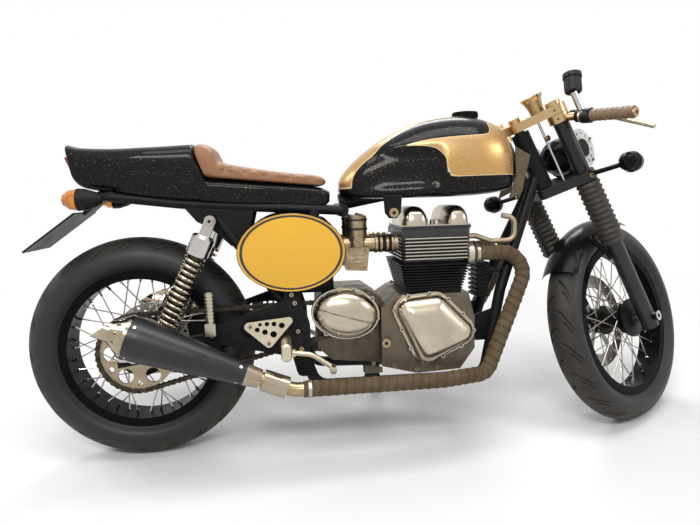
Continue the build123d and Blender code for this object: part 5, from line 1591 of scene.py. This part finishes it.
# %% Coil springs
ACROSS = Vector((0, 1, 0))
SHOCK_Y, COILS, COIL_STEPS, WIRE_R, COIL_R = 142, 12.5, 28, 5.0, 23.9
shock_side = shock_way.cross(ACROSS)
coils = []
for side in SIDES:
    foot = SHOCK_LOW + ACROSS * side * SHOCK_Y
    wire = []
    for step in range(int(COILS * COIL_STEPS) + 1):
        run = SPRING_TO - SPRING_FROM - 2 * WIRE_R
        along = SPRING_FROM + WIRE_R + run * step / (COILS * COIL_STEPS)
        spoke = about(shock_side, ACROSS, 2 * math.pi * step / COIL_STEPS)
        wire.append(foot + shock_way * along + spoke * COIL_R)
    coils.append(skin(sweep_rings(wire, WIRE_R, 10)))
make_piece("coil_springs", joined(coils), "chassis", finish["warm_chrome"], ("shock_springs",))

# %% Geometry Nodes: chain links
LINKS, link_in, link_out = new_tree("chain links", (
    ("Pitch", "Float"), ("Plate radius", "Float"), ("Plate thickness", "Float"), ("Inner half", "Float"),
    ("Outer half", "Float"), ("Material", "Material")))
pitch, plate_r, thick = (link_in[label] for label in ("Pitch", "Plate radius", "Plate thickness"))
kinds = []
for pick, label in (("odd", "Inner half"), ("even", "Outer half")):
    half = link_in[label]
    end_plate = drum(LINKS, plate_r, thick, 0.0, 14)
    bar_size = xyz(LINKS, pitch, math_node(LINKS, "MULTIPLY", plate_r, 1.5), thick)
    bar = node_out(LINKS, "GeometryNodeMeshCube", "Mesh", Size=bar_size)
    waist = shifted(LINKS, bar, math_node(LINKS, "MULTIPLY", pitch, 0.5), 0.0)
    plate = merged(LINKS, end_plate, shifted(LINKS, end_plate, pitch, 0.0), waist)
    pin_r, pin_length = math_node(LINKS, "MULTIPLY", plate_r, 0.6), math_node(LINKS, "MULTIPLY", half, 2.3)
    pin = drum(LINKS, pin_r, pin_length, 0.0, 12)
    link = merged(LINKS, shifted(LINKS, plate, 0.0, half), pin,
                  shifted(LINKS, plate, 0.0, math_node(LINKS, "MULTIPLY", half, -1.0)))
    kinds.append(copies(LINKS, link_in["Geometry"], link, pick))
hand_over(LINKS, merged(LINKS, *kinds), link_out, link_in["Material"])
print("tree", LINKS.name)

# %% Chain along its loop
CHAIN_Y, LINK_PITCH = -84, 15.875
DRIVE = Vector((-185, 0, 395))
REAR_PITCH_R, FRONT_PITCH_R = 108.8, 45.7
gap = DRIVE - REAR_AXLE
lean_up = math.atan2(gap.z, gap.x)
spread = math.acos((REAR_PITCH_R - FRONT_PITCH_R) / gap.length)
loop = []
for centre, radius, first, last in (
        (DRIVE, FRONT_PITCH_R, lean_up - spread, lean_up + spread),
        (REAR_AXLE, REAR_PITCH_R, lean_up + spread, lean_up + 2 * math.pi - spread)):
    loop += [centre + round_xz(first + (last - first) * step / 60, radius, CHAIN_Y) for step in range(61)]
pins = evenly(loop, 2 * round(run_lengths(loop + loop[:1])[-1] / LINK_PITCH / 2))
ways = [end - start for start, end in zip(pins, pins[1:] + pins[:1])]
odd = [number % 2 == 1 for number in range(len(pins))]
grow("chain_links", LINKS, pins, [ACROSS] * len(pins), "chassis",
     {"Pitch": LINK_PITCH * MM, "Plate radius": 0.0066, "Plate thickness": 0.0019, "Inner half": 0.0056,
      "Outer half": 0.0079, "Material": finish["dark_steel"]}, ways,
     {"odd": odd, "even": [not flag for flag in odd]}, ("drive_chain",))

# %% Spoke nipples
SPOKES, RIM_Y, CROSS_Y = 40, 8, 2.4
LACES = (
    # body, axle, hub flange radius, hub flange y, rim inner radius, lace angle
    ("rear_wheel", REAR_AXLE, 79.9, 38, 204, 34),
    ("front_wheel", FRONT_AXLE, 49.9, 33.5, 216.6, 40),
)
for body, axle, hub_r, hub_y, rim_r, lace in LACES:
    spots, aims = [], []
    for number in range(SPOKES):
        flange = 1 - 2 * (number % 2)
        lead = 1 - 2 * ((number // 2) % 2)
        rim_angle = math.radians(number * 360 / SPOKES)
        hub_angle = rim_angle - lead * math.radians(lace)
        start = axle + round_xz(hub_angle, hub_r, flange * (hub_y + lead * CROSS_Y))
        end = axle + round_xz(rim_angle, rim_r, flange * (RIM_Y + lead * CROSS_Y))
        aims.append((start - end).normalized())
        spots.append(end - aims[-1])
    pegs(body + "_nipples", spots, aims, body, 3.4, 16, "chrome", 8)

# %% [markdown]
# Handlebars and headlamp
#
# Leather tape is wound round the grips, like the wrap round the pipes. Next to them sit the switch pods and,
# on the right, the brake cylinder. Bright cap bolts close the fork tubes, pinch bolts hold the yokes, and
# small brass bolts stand on the drilled rings that carry the headlamp. The gauge has a blank dial with ticks
# and a needle.

# %% Leather grips
BAR_AT, BAR_RUN, FORK_HALF = 680.5, Vector((-6, 215, -68)), 105
GRIP_STEPS = 62


def bar_point(side, share):
    """Point along a bar, from its clamp (0) to its end (1), in upright millimetres."""
    return fork_point(BAR_AT, 0, side * FORK_HALF) + Vector((BAR_RUN.x, side * BAR_RUN.y, BAR_RUN.z)) * share


wound_grips = []
for side in SIDES:
    first, last = bar_point(side, 0.48), bar_point(side, 1.02)
    grip_path = [first.lerp(last, step / GRIP_STEPS) for step in range(GRIP_STEPS + 1)]
    wound_grips.append(skin(sweep_rings(grip_path, wound(15, 15.6, 1.6), 40)))
make_piece("leather_grips", joined(wound_grips), "steering", finish["brown_leather"],
           ("grips",), 50)
bar_out = [(bar_point(side, 1) - bar_point(side, 0)).normalized() for side in SIDES]
screws("bar_ends", [bar_point(side, 1.02) for side in SIDES], bar_out, "steering", 13.5, 6, "gold_anodised")

# %% Switch pods and the brake cylinder
pods = [bar_point(side, 0.36) for side in SIDES]
pod_clamps = [bar_point(side, 0.27) for side in SIDES]
pegs("switch_pods", pods, bar_out, "steering", 21, 25, "black_plastic", 40)
pegs("pod_clamps", pod_clamps, bar_out, "steering", 17, 14, "satin_black", 32)
cylinder_low = bar_point(-1, 0.13) + Vector((24, 0, 12))
pegs("brake_cylinder", [cylinder_low], bar_out[:1], "steering", 13, 62, "black_plastic", 32)
spots = [point + Vector((-19, 0, 6)) + out * 8 for point, out in zip(pods, bar_out)]
screws("pod_screws", spots, [(-1, 0, 0.3)] * 2, "steering", 3.4, 5, "chrome")

# %% Fork caps, pinch bolts and the steering rod
LOW_YOKE_MID, TOP_YOKE_MID, TOP_YOKE_TOP = 489, 707.3, 720.4
fork_tops = [fork_point(TOP_YOKE_TOP, 0, side * FORK_HALF) for side in SIDES]
screws("fork_caps", fork_tops, [STEER_UP] * 2, "steering", 21.4, 12, "gold_anodised")
PINCHES = (
    # height, forward share, outward share, radius of the yoke's end
    (BAR_AT, -0.896, 0.444, 31),
    (TOP_YOKE_MID, -0.896, 0.444, 31),
    (LOW_YOKE_MID, -0.44, 0.898, 32),
    (LOW_YOKE_MID, 0.44, 0.898, 32),
)
spots, aims = [], []
for side in SIDES:
    for height, ahead, outward, end_r in PINCHES:
        aims.append(STEER_FWD * ahead + ACROSS * side * outward)
        spots.append(fork_point(height, 0, side * FORK_HALF) + aims[-1] * (end_r - 1))
screws("pinch_bolts", spots, aims, "steering", 7, 5, "gold_anodised")
rod_top, rod_low = fork_point(694, -34, -60), fork_point(503, -34, -60)
pegs("steering_rod", [rod_low], [STEER_UP], "steering", 4, (rod_top - rod_low).length, "chrome")
screws("steering_knob", [fork_point(640, -34, -63)], [-ACROSS], "steering", 9, 9, "brass")

# %% Headlamp ring bolts
RING_AT, RING_R, RING_Y = Vector((576, 0, 855)), 55, 89
spots = [RING_AT + round_xz(math.radians(degrees), RING_R, side * RING_Y)
         for side in SIDES for degrees in (38, 142, 218, 322)]
screws("lamp_ring_bolts", spots, outwards(spots), "steering", 4.2, 6, "brass")

# %% Gauge dial
DIAL = fork_point(720.6 + 45, -4, -52)
dial_side = STEER_UP.orthogonal().normalized()
ticks = [Matrix.Rotation(math.radians(30 * number), 3, STEER_UP) @ dial_side for number in range(1, 12)]
pegs("dial_face", [DIAL], [STEER_UP], "steering", 25.8, 1, "white_paint", 48)
pips("dial_ticks", [DIAL + STEER_UP + way * 21 for way in ticks], [STEER_UP] * len(ticks), ticks, "steering",
     (6, 1.2, 0.6), "black_plastic")
pips("dial_needle", [DIAL + STEER_UP * 1.6 + ticks[2] * 8], [STEER_UP], ticks[2:3], "steering",
     (26, 1.6, 0.9), "gold_anodised")

# %% Brake fluid reservoir
POT_RIBS, POT_R = 18, 22
pot_low, neck_low = pods[0] + Vector((-30, 0, 66)), pods[0] + Vector((-7, 0, 18))
pot_way = Vector((8, 0, 54)).normalized()
pot_side = pot_way.cross(ACROSS)
spots = [pot_low + pot_way * 3 + about(pot_side, ACROSS, 2 * math.pi * number / POT_RIBS) * POT_R
         for number in range(POT_RIBS)]
neck = pot_low - neck_low
pegs("reservoir_ribs", spots, [pot_way] * POT_RIBS, "steering", 1.9, 37, "black_plastic", 8)
pegs("reservoir_neck", [neck_low], [neck], "steering", 9.8, neck.length, "chrome")

# %% [markdown]
# Exhaust tips, shocks and other fittings
#
# What is left are the small bright things that make a machine look bolted together: pressed louvres on the
# silencers' end cones, clevises over the shocks, bands on the inlet rubbers, a lock under the tank, and
# bolts.

# %% Silencer louvres and rivets
LOUVRES, LOUVRE_AT, LOUVRE_R = 12, 379, 43
CONE_ALONG, CONE_OUT = 0.593, 0.805
RIVET_ROWS = (
    # distance along the silencer, radius there
    (340, 57),
    (61, 30.2),
)
silencer_up = SILENCER_DIR.cross(ACROSS)
louvres, louvre_aims, louvre_ways, rivets, rivet_aims = [], [], [], [], []
for side in SIDES:
    start = SILENCER_START + ACROSS * side * SILENCER_Y
    for number in range(LOUVRES):
        radial = about(silencer_up, ACROSS, 2 * math.pi * (number + 0.5) / LOUVRES)
        louvres.append(start + SILENCER_DIR * LOUVRE_AT + radial * LOUVRE_R)
        louvre_aims.append(SILENCER_DIR * CONE_ALONG + radial * CONE_OUT)
        louvre_ways.append(SILENCER_DIR * CONE_OUT - radial * CONE_ALONG)
        if number % 3 == 1:
            rivets += [start + SILENCER_DIR * along + radial * (reach - 0.6) for along, reach in RIVET_ROWS]
            rivet_aims += [radial] * len(RIVET_ROWS)
# dark pips inside the louvres: painted shade in their slot openings
slot_shade_spots = [point + aim * 0.5 for point, aim in zip(louvres, louvre_aims)]
pips("louvres", louvres, louvre_aims, louvre_ways, "chassis", (20, 9, 2.4), "warm_chrome")
pips("louvre_slot_shade", slot_shade_spots, louvre_aims, louvre_ways, "chassis", (14, 4.6, 2.4), "dark_steel")
screws("silencer_rivets", rivets, rivet_aims, "chassis", 3.6, 2.6, "chrome")

# %% Shock clevises and bolts
CLEVIS_R, CLEVIS_DROP, CLEVIS_PLATE = 14, 42, 3.5
outline = [SHOCK_TOP + about(shock_side, shock_way, math.radians(degrees)) * CLEVIS_R
           for degrees in range(0, 181, 15)]
outline += [SHOCK_TOP + shock_side * way * CLEVIS_R - shock_way * CLEVIS_DROP for way in SIDES]
clevis_plates = [skin([[p + ACROSS * side * (inner + lift) for p in outline] for lift in (0, CLEVIS_PLATE)])
                 for side in SIDES for inner in (129, 151.5)]
make_piece("shock_clevises", joined(clevis_plates), "chassis", finish["brushed_steel"], (),
           30)
SHOCK_EYES = ((SHOCK_TOP, 155), (SHOCK_LOW, 154.5))
spots = [eye + ACROSS * side * reach for side in SIDES for eye, reach in SHOCK_EYES]
screws("shock_bolts", spots, outwards(spots), "chassis", 11, 11)

# %% Inlet bands, carburettor trim and the lock
CARB_X, CARB_Y, LID_HALF = -118, 52, 17
BOWL_SCREWS = ((-144, 84, 536), (-100, 84, 534), (-144, 84, 584), (-96, 84, 584), (CARB_X, 100, 610))
LOCK_OUTLINE = ((-46, 742), (8, 742), (4, 690), (-8, 674), (-30, 674), (-42, 690))
spots = [Vector((x, side * CARB_Y, 600)) for side in SIDES for x in (-10, -26, -44, -58)]
pegs("inlet_bands", spots, [(-1, 0, 0)] * len(spots), "chassis", 27, 7, "brass", 40)
lids = [Vector((CARB_X + dx * LID_HALF, side * CARB_Y + dy * LID_HALF, 682))
        for side in SIDES for dx in SIDES for dy in SIDES]
bowls = [Vector((x, side * y, z)) for side in SIDES for x, y, z in BOWL_SCREWS]
aims = [(0, 0, 1)] * len(lids) + outwards(bowls)
screws("carburettor_screws", lids + bowls, aims, "chassis", 5, 5, "brass")
bands = [Vector((CARB_X, side * CARB_Y, z)) for side in SIDES for z in (642, 668)]
pegs("carburettor_bands", bands, [(0, 0, 1)] * len(bands), "chassis", 33, 6, "dark_steel", 40)
ribs = [Vector((-120, side * 84, z)) for side in SIDES for z in (550, 562, 574)]
pips("bowl_ribs", ribs, outwards(ribs), [(1, 0, 0)] * len(ribs), "chassis", (46, 5, 2.6), "carb_alloy")
make_piece("lock_bracket", skin([[Vector((x, y, z)) for x, z in LOCK_OUTLINE] for y in (-112, -108)]),
           "chassis", finish["satin_black"], (), 30)
screws("tank_lock", [Vector((-19, -112, 690))], [-ACROSS], "chassis", 13, 18, "brass")

# %% Bolts on the case, the brackets and the axle
BOLTS = (
    # x, z, distance from the middle
    (-304, 452, 142.3), (-298, 372, 142.3), (-290, 322, 142.3), (-532, 372, 142.3), (-426, 396, 166.3),
    (-378, 348, 166.3), (-312, 474, 136), (-86, 260, 120), (-24, 250, 120), (40, 236, 120), (100, 240, 120),
)
spots = [Vector((-48, side * 120, 319)) for side in SIDES]
screws("case_plugs", spots, outwards(spots), "chassis", 13, 8, "brass")
spots = [Vector((x, side * away, z)) for side in SIDES for x, z, away in BOLTS]
screws("side_bolts", spots, outwards(spots), "chassis", 6, 5, "tan_steel")
# dark pips beside the axle: painted shade in the adjuster slots
slot_shade_spots = [REAR_AXLE + Vector((dx, side * 130.3, 0)) for side in SIDES for dx in (-29, 29)]
pips("adjuster_slot_shade", slot_shade_spots, outwards(slot_shade_spots), [(1, 0, 0)] * len(slot_shade_spots), "chassis", (22, 9, 1.4),
     "dark_steel")

# %% Knurled fuel cap
CAP_AT, CAP_R, KNURLS = Vector((226, 0, 957)), 37, 44
cap_turns = [2 * math.pi * number / KNURLS for number in range(KNURLS)]
spots = [CAP_AT + Vector((CAP_R * math.cos(angle), CAP_R * math.sin(angle), 4)) for angle in cap_turns]
pegs("cap_knurls", spots, [(0, 0, 1)] * KNURLS, "chassis", 1.7, 13, "gloss_black", 8)

# %% Sizes
sizes = {"cad": [list(corner) for corner in cad_box], "visual": [list(corner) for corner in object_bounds()]}
